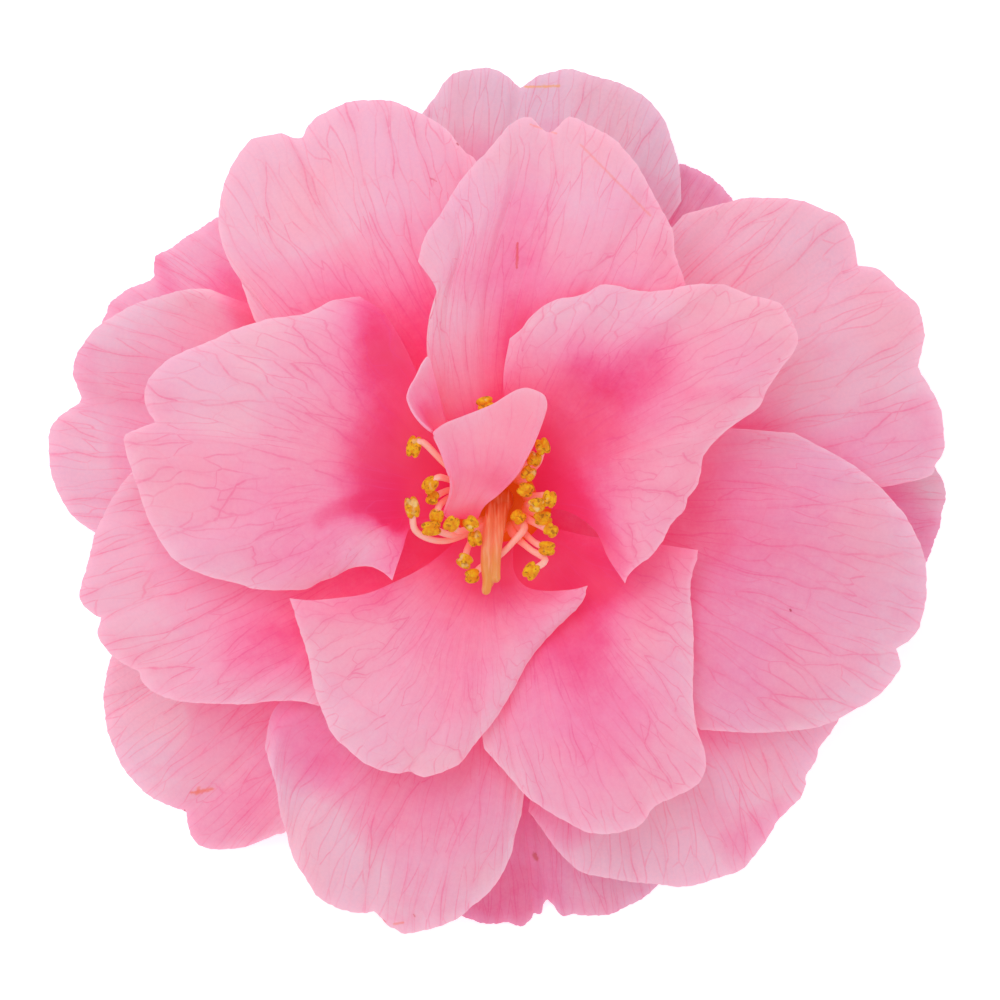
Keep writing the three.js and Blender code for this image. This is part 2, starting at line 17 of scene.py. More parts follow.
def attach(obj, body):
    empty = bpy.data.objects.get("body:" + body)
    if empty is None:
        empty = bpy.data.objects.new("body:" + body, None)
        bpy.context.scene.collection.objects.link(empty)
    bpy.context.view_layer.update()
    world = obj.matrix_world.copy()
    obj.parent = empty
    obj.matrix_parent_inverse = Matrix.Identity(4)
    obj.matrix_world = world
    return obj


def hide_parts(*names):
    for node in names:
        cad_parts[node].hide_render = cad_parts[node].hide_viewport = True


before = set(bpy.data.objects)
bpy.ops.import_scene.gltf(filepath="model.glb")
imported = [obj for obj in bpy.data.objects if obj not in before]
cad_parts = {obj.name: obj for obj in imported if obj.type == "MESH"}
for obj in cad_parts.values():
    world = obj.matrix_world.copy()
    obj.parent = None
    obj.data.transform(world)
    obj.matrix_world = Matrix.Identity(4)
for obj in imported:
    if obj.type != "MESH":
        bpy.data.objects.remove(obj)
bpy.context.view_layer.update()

MM = 0.001

# %% [markdown]
# ## Helpers for shapes
# Petals, filaments and sepals are all skins: a flat grid bent to a form. A grid primitive has the right
# layout of faces and a tidy UV map already, so each piece starts as one, and a formula says where each
# of its points goes. That keeps the veins, which follow the UV map, running from claw to rim.

# %% Read and move the points of a mesh
def points_of(piece):
    """The points of a mesh, a row of x, y and z for each, in metres."""
    flat = np.empty(len(piece.data.vertices) * 3)
    piece.data.vertices.foreach_get("co", flat)
    return flat.reshape(-1, 3)


def move_points(piece, points):
    piece.data.vertices.foreach_set("co", points.ravel())
    piece.data.update()


# %% A grid whose points are placed by a formula
def mix(start, end, share):
    return start * (1 - share) + end * share


def shaped_grid(name, columns, rows, place):
    """A grid primitive with its points moved to place(across, along), given in millimetres."""
    bpy.ops.object.select_all(action="DESELECT")
    bpy.ops.mesh.primitive_grid_add(x_subdivisions=columns, y_subdivisions=rows, size=1, calc_uvs=True)
    piece = bpy.context.object
    piece.name = piece.data.name = name
    flat = points_of(piece)
    across, along = flat[:, 0] + 0.5, flat[:, 1] + 0.5
    move_points(piece, place(across, along) * MM)
    return piece


# %% A smooth line through points, walked at an even pace
STEPS_BETWEEN_POINTS = 12


def smooth_line(points, notches=()):
    """Gives a function from a share of the line's length to a place. A notch is a sharp turn."""
    points = np.array(points, float)
    tangents = np.gradient(points, axis=0)
    tangents[list(notches)] = 0
    u = np.linspace(0, 1, STEPS_BETWEEN_POINTS, endpoint=False)[:, None]
    stretches = [
        (2 * u**3 - 3 * u**2 + 1) * points[i] + (u**3 - 2 * u**2 + u) * tangents[i]
        + (3 * u**2 - 2 * u**3) * points[i + 1] + (u**3 - u**2) * tangents[i + 1]
        for i in range(len(points) - 1)
    ]
    line = np.vstack([*stretches, points[-1:]])
    walked = np.concatenate([[0], np.cumsum(np.linalg.norm(np.diff(line, axis=0), axis=1))])
    share = walked / walked[-1]
    return lambda at: np.stack([np.interp(at, share, line[:, k]) for k in range(line.shape[1])], axis=-1)


# %% Finishing moves that several pieces share
def select_only(piece):
    bpy.ops.object.select_all(action="DESELECT")
    piece.select_set(True)
    bpy.context.view_layer.objects.active = piece


@contextmanager
def edit_mode(piece):
    """Edit mode, with all of the piece selected."""
    select_only(piece)
    bpy.ops.object.mode_set(mode="EDIT")
    bpy.ops.mesh.select_all(action="SELECT")
    yield
    bpy.ops.object.mode_set(mode="OBJECT")


def join(name, first, *others):
    select_only(first)
    for piece in others:
        piece.select_set(True)
    bpy.ops.object.join()
    first.name = first.data.name = name
    return first


def apply_modifier(piece, kind, **settings):
    select_only(piece)
    modifier = piece.modifiers.new(kind.lower(), kind)
    for key, value in settings.items():
        setattr(modifier, key, value)
    bpy.ops.object.modifier_apply(modifier=modifier.name)


SEAM_GAP = 0.002 * MM


def close_seams(piece):
    """Joins the points that lie on each other where a skin meets itself, and turns its faces outwards."""
    with edit_mode(piece):
        bpy.ops.mesh.remove_doubles(threshold=SEAM_GAP)
        bpy.ops.mesh.normals_make_consistent(inside=False)


def smooth_shading(piece, sharp_degrees=50):
    select_only(piece)
    bpy.ops.object.shade_smooth_by_angle(angle=math.radians(sharp_degrees))


def hand_over(piece, slot, *nodes):
    """Puts a finished piece in the place of the solid nodes that it stands for."""
    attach(piece, "root")
    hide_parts(*nodes)
    print(f"{piece.name}: {len(piece.data.polygons)} faces")


# %% [markdown]
# ## The tiers
# The petals grow one above the other from a cone. Each tier climbs from its claw, levels out, and sinks
# again at the rim, the lowest one most. With one rule for all tiers, petals nest like bowls and never
# cut through each other, whatever outline each has.

# %% Heights of the seven tiers
TIERS = 7
CLAW_HALF_WIDTH = 2.9
# For the lowest tier and for the top one, in mm
CLAW_RADIUS = (8.2, 4.6)
CLAW_HEIGHT = (6.6, 13.8)
RISE = (0.8, 15.6)
RISE_RUN = (14, 11)  # most of the rise is done in this distance
# How far the lowest tier has sunk at this distance from its claw, in mm
SAG, REACH = 4.8, 46
# The bloom swells by this many mm in two lobes and in three, turned by these angles in radians
SWELL = (1, 0.7)
SWELL_TURN = (0.6, -1)


def tier_height(distance, level):
    run = np.maximum(distance - mix(*CLAW_RADIUS, level), 0)
    climb = mix(*RISE, level) * (1 - np.exp(-run / mix(*RISE_RUN, level)))
    return mix(*CLAW_HEIGHT, level) + climb - SAG * (1 - level) * (run / REACH) ** 2


def bloom_swell(x, y):
    angle = np.arctan2(y, x)
    two_sided = SWELL[0] * np.sin(2 * angle + SWELL_TURN[0])
    return two_sided + SWELL[1] * np.sin(3 * angle + SWELL_TURN[1])


print("claws sit at", [round(float(tier_height(0, i / (TIERS - 1))), 1) for i in range(TIERS)], "mm")

# %% [markdown]
# ## The petals' outlines
# Each petal has its own outline, with the notch and the small waves that make a bloom look grown and not
# stamped. The outline is given as a gardener would trace it from above: two sides that leave the claw
# and the rim between them. A fold is a crease or ridge from the claw to a point on the rim.

# %% Top tiers
# tier: 1 is the lowest. axis: the claw's direction in degrees.
# right, rim, left: points in mm, anticlockwise. notches: which rim points are sharp.
# folds: a rim point, then height in mm, width as a share of the rim, and how late it starts (a power).
# dents: a place, then radius and height in mm. wave: height in mm, crests, phase.
# cup, curl and droop in mm: corners that rise, a rim that rolls over, a petal that sinks outwards.
PETALS = {
    "inner_left": dict(
        tier=7, axis=170,
        right=[(-6.8, 7), (-8.8, 12.4), (-10.5, 16.4), (-12.2, 19.7), (-14.2, 22.6)],
        rim=[
            (-16.8, 24.3), (-20.3, 23.7), (-23.2, 22.3), (-27.5, 21.6), (-29.3, 21.1), (-32, 20.3),
            (-34.7, 18.9), (-38.7, 17.3), (-40.3, 16.3), (-41.6, 14.9), (-42.3, 13.6), (-42.3, 11.2),
            (-41.1, 9.3), (-44.3, 8), (-44.9, 7.3), (-44.3, 4.5), (-42.8, 0), (-41.9, -2.4),
            (-40, -5.9), (-38.4, -7.5), (-36.3, -8.5), (-34.1, -9.3), (-31.5, -9.9), (-29.1, -10.6),
            (-24, -10.7), (-22.7, -10.4), (-21.6, -9.7), (-20, -9.2), (-17.9, -8.1), (-16, -7.9),
            (-14.4, -8.4), (-12.9, -9.6),
        ],
        left=[(-8, -2.6), (-10.7, -3.3), (-11.7, -6)], notches=[12],
        folds=[(-41.1, 9.3, -1.6, 0.06, 2), (-17, 24.2, -4.5, 0.15, 2), (-12.9, -9.7, 1.8, 0.08, 3),
               (-26, -10.7, -1.2, 0.13, 3)],
        wave=(0.5, 3, 0.4), cup=0.6, curl=2.4, droop=0,
    ),
    "inner_right": dict(
        tier=7, axis=25,
        right=[(8.2, -1.4), (11.4, -3.6), (13, -7)],
        rim=[
            (14.9, -9.9), (15.7, -8.5), (18.1, -6.7), (19.6, -4.5), (20.5, -2.7), (22, -1.3),
            (22.5, 0.3), (23.6, 1.9), (24, 4), (24.4, 5.5), (26.1, 7.5), (28, 9.1), (31, 11.2),
            (31.8, 13), (33.7, 16), (35.2, 17.9), (35.6, 19.8), (34.6, 21.7), (33.3, 23.5),
            (29.9, 24.5), (28, 25.3), (26.7, 25.7), (22.9, 25.7), (20, 25.1), (16.8, 24.9),
            (13.6, 25.7), (12, 25.7), (9.9, 24.5), (6.7, 23.9), (5.1, 23.1), (3.7, 21.9),
            (2.7, 20.5), (1.2, 19.2),
        ],
        left=[(1, 9), (0.4, 14.5)], notches=[],
        folds=[(14.9, -9.9, 1.8, 0.1, 3), (31, 11.2, -1.4, 0.07, 2), (17.5, 24.9, -0.9, 0.06, 3)],
        dents=[(12, 10, 5, -1.4), (17, 15.5, 5, -1.7), (22.5, 19.5, 4.5, -1.2), (6, 19, 6, 0.8),
               (22, 3, 6, 0.8)],
        wave=(0.5, 3, 1.2), cup=0.8, curl=2, droop=0,
    ),
    "inner_bottom": dict(
        tier=6, axis=256,
        right=[(-8.5, -7.6), (-12.8, -9.9), (-16, -11.2), (-19.2, -11.7), (-22.7, -12)],
        rim=[
            (-25.2, -11.8), (-24.3, -14.4), (-23.6, -16.5), (-22.9, -19.2), (-21.9, -23.6),
            (-21.1, -25.7), (-20, -28), (-18.2, -29.8), (-16.5, -31.3), (-14.1, -32.3), (-12, -32.7),
            (-10.8, -32.35), (-9.3, -33.1), (-6.7, -32.4), (-4.8, -31.5), (-3.7, -30), (-2.7, -28.7),
            (-0.8, -26.5), (0.5, -24.4), (1.9, -22), (3.2, -19.6), (4.5, -17.7), (6.1, -16),
            (8.5, -13.6), (9.9, -12), (10.5, -10.3),
        ],
        left=[(1.6, -8.2), (2.8, -10.2), (5, -10.9), (8.3, -10.8)], notches=[11],
        folds=[(-25.2, -11.8, 1.6, 0.11, 3), (-10.8, -32.2, -1, 0.07, 2.5), (10.5, -10.3, 2, 0.11, 3)],
        wave=(0.4, 3, 0.2), cup=0.6, curl=2.2, droop=0,
    ),
    "inner_top": dict(
        tier=6, axis=84,
        right=[(9, 12), (16, 19)],
        rim=[
            (22.2, 25.8), (21.3, 28.3), (20.85, 30), (20.7, 32), (20, 33.5), (18.7, 36), (17.3, 38.4),
            (16.3, 40.3), (14.9, 41.9), (13.6, 43.2), (11.5, 44.5), (8.8, 45.8), (7.7, 45.5),
            (6.8, 44.5), (6, 44.05), (5.2, 44.3), (4.3, 45.2), (3.5, 45.8), (2.4, 45.65), (1.1, 44.9),
            (-0.3, 43.2), (-1.6, 41.6), (-2.8, 40.5), (-4.3, 38.7), (-5.6, 36.8), (-6.4, 35.5),
            (-7.5, 33.6), (-8.5, 32.3), (-9.3, 30.7), (-9.8, 28.5),
        ],
        left=[(-6.4, 9.6), (-8, 13.5), (-8.7, 17.3), (-8.6, 20.8), (-7.7, 23.7), (-7.8, 25.6)],
        notches=[14],
        folds=[(5.6, 44.4, -3.4, 0.13, 1.2), (-9.6, 30, 1.5, 0.16, 2)],
        wave=(0.4, 2, 0.5), cup=0.8, curl=1.4, droop=0,
    ),
    "inner_low_right": dict(
        tier=5, axis=300,
        right=[(-1, -13), (-2.8, -22)],
        rim=[
            (-1.9, -29.7), (0, -31.9), (1.9, -34), (3.7, -35.9), (6.1, -37.5), (8, -38.5),
            (10.1, -39.7), (12, -40), (14.2, -39.8), (16.8, -39), (18, -37.3), (18.8, -36.4),
            (23, -34.6), (24.5, -32.5), (24.5, -30), (23.7, -27.9), (23.2, -25.2), (23.1, -22),
            (23.15, -18), (23.2, -16), (23, -14.1), (22.8, -11.5), (23, -9.1), (23.5, -7.2),
            (23.7, -6),
        ],
        left=[(11, -4.4), (18, -5.2)], notches=[11],
        folds=[(18, -37, -1.4, 0.08, 2.5), (23.7, -6, 1.6, 0.11, 3)],
        wave=(0.5, 3, 0.9), cup=0.6, curl=1.8, droop=1,
    ),
    "middle_upper_left": dict(
        tier=5, axis=120,
        right=[(0, 15), (-0.5, 27)],
        rim=[
            (-1.5, 36), (-2.8, 40.5), (-4, 41.6), (-5.1, 42.8), (-6.4, 44.3), (-8, 45.5),
            (-9.6, 46.45), (-10.7, 46.9), (-12, 47.5), (-13.6, 47.9), (-16, 48), (-17.9, 47.8),
            (-20.5, 46.7), (-22, 46), (-23.1, 44.8), (-23.6, 43.6), (-24.4, 43.3), (-25.1, 43.5),
            (-26.4, 44), (-28.1, 43.7), (-29.7, 43.3), (-30.9, 42), (-32.1, 40.3), (-32.8, 38.7),
            (-33.3, 36.8), (-33.8, 33.6), (-33.3, 30.9), (-32.3, 28.3), (-31.1, 26.3), (-29.4, 21.6),
        ],
        left=[(-13, 8.5), (-23, 14)], notches=[16],
        folds=[(-24.2, 43.3, -1.6, 0.09, 2), (-5.5, 43, -1, 0.12, 2)],
        wave=(0.6, 3, 2), cup=0.4, curl=1.8, droop=1.5,
    ),
    "middle_lower_left": dict(
        tier=5, axis=197,
        right=[(-18, 4.4), (-31, 5.4)],
        rim=[
            (-42, 4.4), (-44.6, 2.8), (-46.4, 0.3), (-47.2, -1.3), (-48.6, -4.1), (-49, -6.1),
            (-49.6, -8.3), (-50.1, -9.6), (-50.4, -11.2), (-50.3, -12), (-49.6, -12.9), (-48.7, -13.7),
            (-47.9, -14.1), (-48, -14.9), (-48.3, -16), (-47.7, -17.1), (-46.7, -18.4), (-45.9, -19.1),
            (-44.5, -20), (-43.2, -20.5), (-42.7, -22), (-41.1, -23.3), (-38.7, -24), (-36.3, -24.3),
            (-33.3, -24.4), (-30.1, -24.4), (-28, -24.1), (-25.3, -24), (-23.2, -24.3), (-21.7, -24.7),
        ],
        left=[(-9, -11.5), (-15, -19.5)], notches=[12, 19],
        folds=[(-47.9, -14.1, -1.4, 0.1, 2), (-42.8, -21.6, -0.8, 0.1, 3)],
        wave=(0.5, 3, 0.5), cup=0.4, curl=1.6, droop=2,
    ),
}

# %% Middle tiers
PETALS |= {
    "middle_right": dict(
        tier=4, axis=344,
        right=[(10, -12), (17, -21)],
        rim=[
            (24, -27.5), (29.3, -27.9), (33.9, -27.8), (36, -27.55), (38.1, -27.2), (40.7, -26.3),
            (42.3, -25.3), (44, -24.4), (46.1, -22.9), (47.7, -20.9), (48.1, -20), (47.9, -18.9),
            (47.5, -17.9), (49.3, -16.8), (50.3, -15.5), (50.7, -13.9), (51.2, -11.7), (51.25, -10.1),
            (51.15, -7.9), (50.4, -5.3), (48.8, -2.1), (47.2, -0.3), (45.6, 1.6), (42.7, 3.9),
            (39.2, 6), (35.2, 8),
        ],
        left=[(15, 5), (25, 8.4)], notches=[12],
        folds=[(47.5, -17.9, -1.6, 0.08, 2), (48.5, -1.5, 0.8, 0.16, 2)],
        wave=(0.6, 3, 1.4), cup=0.4, curl=1.6, droop=2,
    ),
    "middle_left": dict(
        tier=4, axis=167,
        right=[(-15, 12), (-25, 21)],
        rim=[
            (-34.9, 25.3), (-36.8, 25.3), (-38.9, 25), (-41.1, 24.4), (-43.2, 23.7), (-45.3, 22.8),
            (-47.9, 21.1), (-49.1, 20.1), (-50, 18.9), (-50.8, 17.6), (-51.2, 16), (-51.3, 15),
            (-50.9, 13.9), (-50.2, 12.1), (-50.7, 11.5), (-52, 10.7), (-53.1, 9.9), (-53.9, 8.8),
            (-54.15, 7.7), (-54.2, 5.6), (-54, 3.7), (-53.5, 2.1), (-52.8, 0.3), (-51.9, -1.2),
            (-50.7, -2.4), (-49.3, -3.5), (-47.6, -4.4), (-44, -5),
        ],
        left=[(-17, -4.5), (-30, -6)], notches=[13],
        folds=[(-50.2, 12.1, -2, 0.11, 1.6)],
        wave=(0.4, 3, 0.8), cup=0.2, curl=1.5, droop=3.5,
    ),
    "middle_bottom": dict(
        tier=4, axis=255,
        right=[(-13, -13.5), (-22, -20.8), (-27, -25)],
        rim=[
            (-28.2, -29.7), (-27.7, -31.1), (-27.2, -33.2), (-26.7, -35.3), (-26.4, -37.5),
            (-25.7, -39.9), (-25.3, -41.5), (-24.5, -43.6), (-23.7, -44.9), (-22.7, -46.5),
            (-21.9, -47.6), (-20.3, -48.7), (-18.9, -49.3), (-16.8, -49.6), (-15.2, -49.4),
            (-14.5, -50), (-13.6, -51.1), (-12.3, -51.7), (-11.5, -52.1), (-9.9, -51.9), (-8, -51.5),
            (-6.1, -50.7), (-4.7, -50), (-3.5, -48.9), (-1.9, -47.6), (-0.5, -46), (0.5, -44.4),
            (1.3, -42.5), (1.7, -40.4), (2.5, -37.8),
        ],
        left=[(3, -16), (3.6, -28)], notches=[14],
        folds=[(-15.2, -49.3, -1.2, 0.1, 2.5), (1, -43.5, 0.6, 0.15, 3)],
        wave=(0.6, 3, 0.3), cup=0.2, curl=1.6, droop=4,
    ),
    "middle_upper_right": dict(
        tier=3, axis=33,
        right=[(19, -0.5), (34, 0)],
        rim=[
            (47, 1.8), (51.6, 2.9), (52.3, 4.3), (53.2, 5.5), (53.5, 6.7), (53.4, 8), (53.1, 10.4),
            (52.4, 12.3), (51.5, 14), (50.2, 15.9), (50.5, 17.3), (50.9, 18.9), (51.1, 20.1),
            (50.7, 21.9), (50.3, 23.2), (49.6, 24.1), (48, 25.5), (46.7, 26.8), (45.3, 27.8),
            (44.3, 28), (43.1, 28.1), (42.9, 29.1), (42.7, 30.7), (42.1, 32.1), (41.3, 33.6),
            (40, 34.5), (38.7, 35), (37.1, 35.7), (35.2, 36.1), (33.6, 36.3), (29.9, 36.3),
            (28.1, 35.95), (25.9, 35.4), (22, 34.2),
        ],
        left=[(9, 15), (15, 26)], notches=[9, 20],
        folds=[(50.2, 15.9, -1.4, 0.08, 2.5), (43, 28.2, -1.6, 0.08, 2)],
        wave=(0.5, 3, 0), cup=0.2, curl=1.5, droop=2.5,
    ),
    "outer_lower_right": dict(
        tier=3, axis=308,
        right=[(4.5, -16), (5, -28)],
        rim=[
            (3.4, -37.4), (4.5, -38.8), (5.9, -40.7), (7.2, -42.5), (8.8, -44), (10.1, -44.8),
            (12, -45.3), (14.4, -45.7), (19.5, -46.3), (21.1, -46.5), (22.9, -46.4), (24.5, -46.1),
            (26.7, -45.3), (28.3, -44.8), (29.2, -44.4), (30.1, -43.5), (31.5, -41.6), (32.5, -40.1),
            (33.6, -38.4), (34.5, -37.7), (34.8, -37.1), (36, -36), (36.8, -34.4), (36.9, -33.1),
            (37.9, -31.5), (38.4, -29.7), (39.5, -28.5), (40.1, -27.5), (40.7, -26.3), (40.6, -23),
        ],
        left=[(18, -6.5), (31, -12.5)], notches=[19],
        folds=[(34.5, -37.7, -2.4, 0.11, 1.4)],
        wave=(0.5, 2, 0.6), cup=0.2, curl=1.4, droop=4,
    ),
    "outer_upper_left": dict(
        tier=3, axis=147,
        right=[(-14, 17.5), (-24, 28)],
        rim=[
            (-31, 34), (-33.8, 34.1), (-34.7, 33.6), (-36, 32.8), (-38.7, 31.1), (-40, 30.1),
            (-41.2, 29.65), (-41.7, 29.1), (-41.6, 26.9), (-42.4, 26.4), (-44, 25.7), (-45.1, 25.3),
            (-46.1, 24.5), (-47.1, 23.6), (-47.5, 22.4), (-47.9, 21.1), (-47, 15.5),
        ],
        left=[(-20, 5.5), (-35, 9.5)], notches=[8],
        folds=[(-41.6, 26.9, -1.2, 0.13, 3)],
        wave=(0.3, 2, 0.4), cup=0, curl=0.8, droop=10.7,
    ),
    "outer_lower_left": dict(
        tier=3, axis=225,
        right=[(-19, -7), (-34, -12)],
        rim=[
            (-46.4, -17.8), (-47.2, -20.1), (-47.5, -22), (-47.8, -24.1), (-47.5, -26.3),
            (-47.1, -28.4), (-46.3, -30.5), (-45.1, -32.7), (-43.7, -34.4), (-42.1, -35.7),
            (-40, -36.8), (-38.7, -37.2), (-37.7, -37.5), (-37.7, -38.5), (-37.3, -40.3),
            (-36.3, -41.5), (-34.7, -42.05), (-33.3, -42.1), (-31.5, -41.9), (-29.9, -41.5),
            (-28.3, -40.9), (-26.7, -40.1), (-25.9, -39.9), (-23.5, -36),
        ],
        left=[(-8, -15), (-15, -26)], notches=[12],
        folds=[(-37.8, -37.4, -1.4, 0.11, 2)],
        wave=(0.4, 2, 1), cup=0, curl=1, droop=8.6,
    ),
}

# %% Lowest tiers
PETALS |= {
    "outer_top": dict(
        tier=2, axis=86,
        right=[(9.5, 16), (16, 27)],
        rim=[
            (21.8, 36), (21.7, 38.1), (21.5, 40.5), (21.1, 42.1), (20.5, 43.7), (20, 45.3),
            (19.5, 46.3), (18.1, 47.9), (16.5, 49.2), (14.7, 50.1), (12.3, 50.8), (10.1, 51.5),
            (8.3, 51.9), (6.7, 51.7), (4.8, 51.2), (3.5, 50.3), (2.45, 49.65), (1.9, 50.1),
            (1.1, 50.9), (-0.3, 51.7), (-1.9, 52.1), (-4, 51.8), (-5.6, 51.3), (-6.9, 50.1),
            (-7.6, 48.8), (-8.5, 47.7), (-9.6, 46.2),
        ],
        left=[(-6, 18), (-9.5, 32)], notches=[16],
        folds=[(2.5, 49.6, -1.6, 0.1, 1.8)],
        wave=(0.5, 3, 0.2), cup=0, curl=1.2, droop=3.4,
    ),
    "back_right": dict(
        tier=2, axis=0,
        right=[(20, -9), (35, -14)],
        rim=[
            (45, -16), (49.5, -12), (51.2, -8), (52, -5.9), (52.9, -3.5), (53.2, -1.6), (53.7, 0.1),
            (53.4, 2.3), (52.9, 3.2), (51.6, 5), (50, 7), (44, 10),
        ],
        left=[(20, 8), (32, 10)], notches=[], folds=[],
        wave=(0.3, 2, 0.4), cup=0, curl=0.7, droop=5.7,
    ),
    "back_bottom": dict(
        tier=2, axis=277,
        right=[(-5, -19), (-8, -34)],
        rim=[
            (-8, -46), (-4.7, -50), (-3.5, -50.5), (-1.9, -51), (-0.3, -51.1), (0.8, -50.75),
            (1.9, -51.2), (2.7, -51.4), (3.7, -50.5), (4.1, -49.6), (4.9, -49.9), (5.2, -48.7),
            (5.7, -48.1), (6.4, -48.7), (7.2, -49.9), (7.9, -50.2), (8.7, -49.8), (9.9, -50),
            (11.5, -50.1), (13.6, -49.8), (15.7, -48.8), (17.9, -47.5), (18.9, -46.5), (19.8, -45.6),
        ],
        left=[(9.5, -18), (16.5, -32)], notches=[5, 9, 12, 16],
        folds=[(5.7, -48.1, -0.8, 0.1, 3)],
        wave=(0.3, 2, 0.7), cup=0, curl=0.7, droop=6.2,
    ),
    "back_upper_right": dict(
        tier=1, axis=56,
        right=[(14, 14), (23, 25)],
        rim=[
            (28.5, 31.5), (28.8, 34), (28.1, 36), (27.5, 36.9), (26.4, 38.1), (25.1, 39.1),
            (23.5, 39.9), (21.5, 40.4), (18, 38.5),
        ],
        left=[(7.5, 18), (12.5, 29)], notches=[], folds=[],
        wave=(0.2, 2, 0.4), cup=0, curl=0.5, droop=5.4,
    ),
}
print(len(PETALS), "petals are drawn")

# %% [markdown]
# ## The petals' surface
# Between its four borders a petal is a ruled patch, so lines along it fan out as its veins do. The
# height comes from the tier, and creases, waves and a rim that rolls over are added to it. The last
# touches are small ripples and a slightly uneven edge, because nothing grown is quite smooth.

# %% From outline to surface
RIPPLES = ((5, 0.2), (8, 0.14), (13, 0.08), (21, 0.03))  # crests across, height in mm
EDGE_WAVES = ((9, 0.05), (31, 0.04), (57, 0.03))  # waves round the rim, depth in mm
RIPPLE_SWAY = 0.02  # how far a ripple wanders sideways on its way to the rim, as a share of the width
PHASE_STEP = 0.37  # keeps the waves of neighbouring petals apart
RIM_SEARCH_STEPS = 400
LOWEST = 0.4  # no point of a petal's middle sheet is lower, so that none goes into the table


def stretched(foot, rim, right, left, t, s):
    """The surface stretched between four border lines; t runs from right to left, s from foot to rim."""
    column, row = t[:, None], s[:, None]
    corners = mix(mix(right(0), right(1), row), mix(left(0), left(1), row), column)
    return mix(right(s), left(s), column) + mix(foot(t), rim(t), row) - corners


def waves(table, t, seed):
    return sum(size * np.sin(2 * np.pi * (count * t + PHASE_STEP * count * seed)) for count, size in table)


def petal_place(petal, seed):
    """Returns the formula that places the points of a petal's grid."""
    level = (petal["tier"] - 1) / (TIERS - 1)
    claw_radius = mix(*CLAW_RADIUS, level)
    half_angle = CLAW_HALF_WIDTH / claw_radius
    rim = smooth_line(petal["rim"], petal["notches"])

    def claw(t):
        angle = math.radians(petal["axis"]) + mix(-half_angle, half_angle, t)
        return claw_radius * np.stack([np.cos(angle), np.sin(angle)], axis=-1)

    right = smooth_line([claw(0), *petal["right"], petal["rim"][0]])
    left = smooth_line([claw(1), *petal["left"], petal["rim"][-1]])
    shares = np.linspace(0, 1, RIM_SEARCH_STEPS)
    folds = [
        (shares[np.argmin(np.linalg.norm(rim(shares) - (x, y), axis=1))], height, width, power)
        for x, y, height, width, power in petal["folds"]
    ]

    def place(across, along):
        t, s = 1 - across, along
        plan = stretched(claw, rim, right, left, t, s)
        outward = rim(t) - claw(t)
        outward /= np.linalg.norm(outward, axis=1)[:, None]
        plan = plan + outward * (s**6 * waves(EDGE_WAVES, t, seed))[:, None]
        x, y = plan.T
        distance = np.hypot(x, y)
        run = np.maximum(distance - claw_radius, 0) / REACH
        z = tier_height(distance, level) + (bloom_swell(x, y) - petal["droop"]) * run**2
        for centre, height, width, power in folds:
            z = z + height * s**power * np.exp(-(((t - centre) / width) ** 2))
        height, crests, phase = petal["wave"]
        z = z + height * s**3 * np.sin(2 * np.pi * crests * t + phase)
        z = z + petal["cup"] * s**2 * (2 * t - 1) ** 4 - petal["curl"] * s**6
        z = z + s**1.5 * waves(RIPPLES, t + RIPPLE_SWAY * np.sin(5 * s + seed), seed)
        for x0, y0, radius, height in petal.get("dents", ()):
            z = z + height * np.exp(-((x - x0) ** 2 + (y - y0) ** 2) / radius**2)
        return np.stack([x, y, np.maximum(z, LOWEST)], axis=-1)

    return place


# %% Give a petal its thickness
BLADE = 0.42 * MM
RIM_THINNING = 0.45  # the rim's thickness as a share of the blade's
THIN_EDGE = 0.05  # the share of the blade's width over which it thins
COLUMNS, ROWS = 112, 56


def blade_from(piece, thickness, thinning=RIM_THINNING):
    """Turns a sheet into a thin closed blade whose free edges are thinner than its middle."""
    group = piece.vertex_groups.new(name="thick")
    uv = np.empty(len(piece.data.loops) * 2)
    piece.data.uv_layers[0].data.foreach_get("uv", uv)
    vertex = np.empty(len(piece.data.loops), int)
    piece.data.loops.foreach_get("vertex_index", vertex)
    inset = np.ones(len(piece.data.vertices))
    across, along = uv.reshape(-1, 2).T
    inset[vertex] = np.minimum(np.minimum(across, 1 - across), 1 - along)
    for index, share in enumerate(np.clip(inset / THIN_EDGE, 0, 1)):
        group.add([index], float(share), "REPLACE")
    apply_modifier(
        piece, "SOLIDIFY", thickness=thickness, offset=0, vertex_group="thick",
        thickness_vertex_group=thinning,
    )
    smooth_shading(piece)
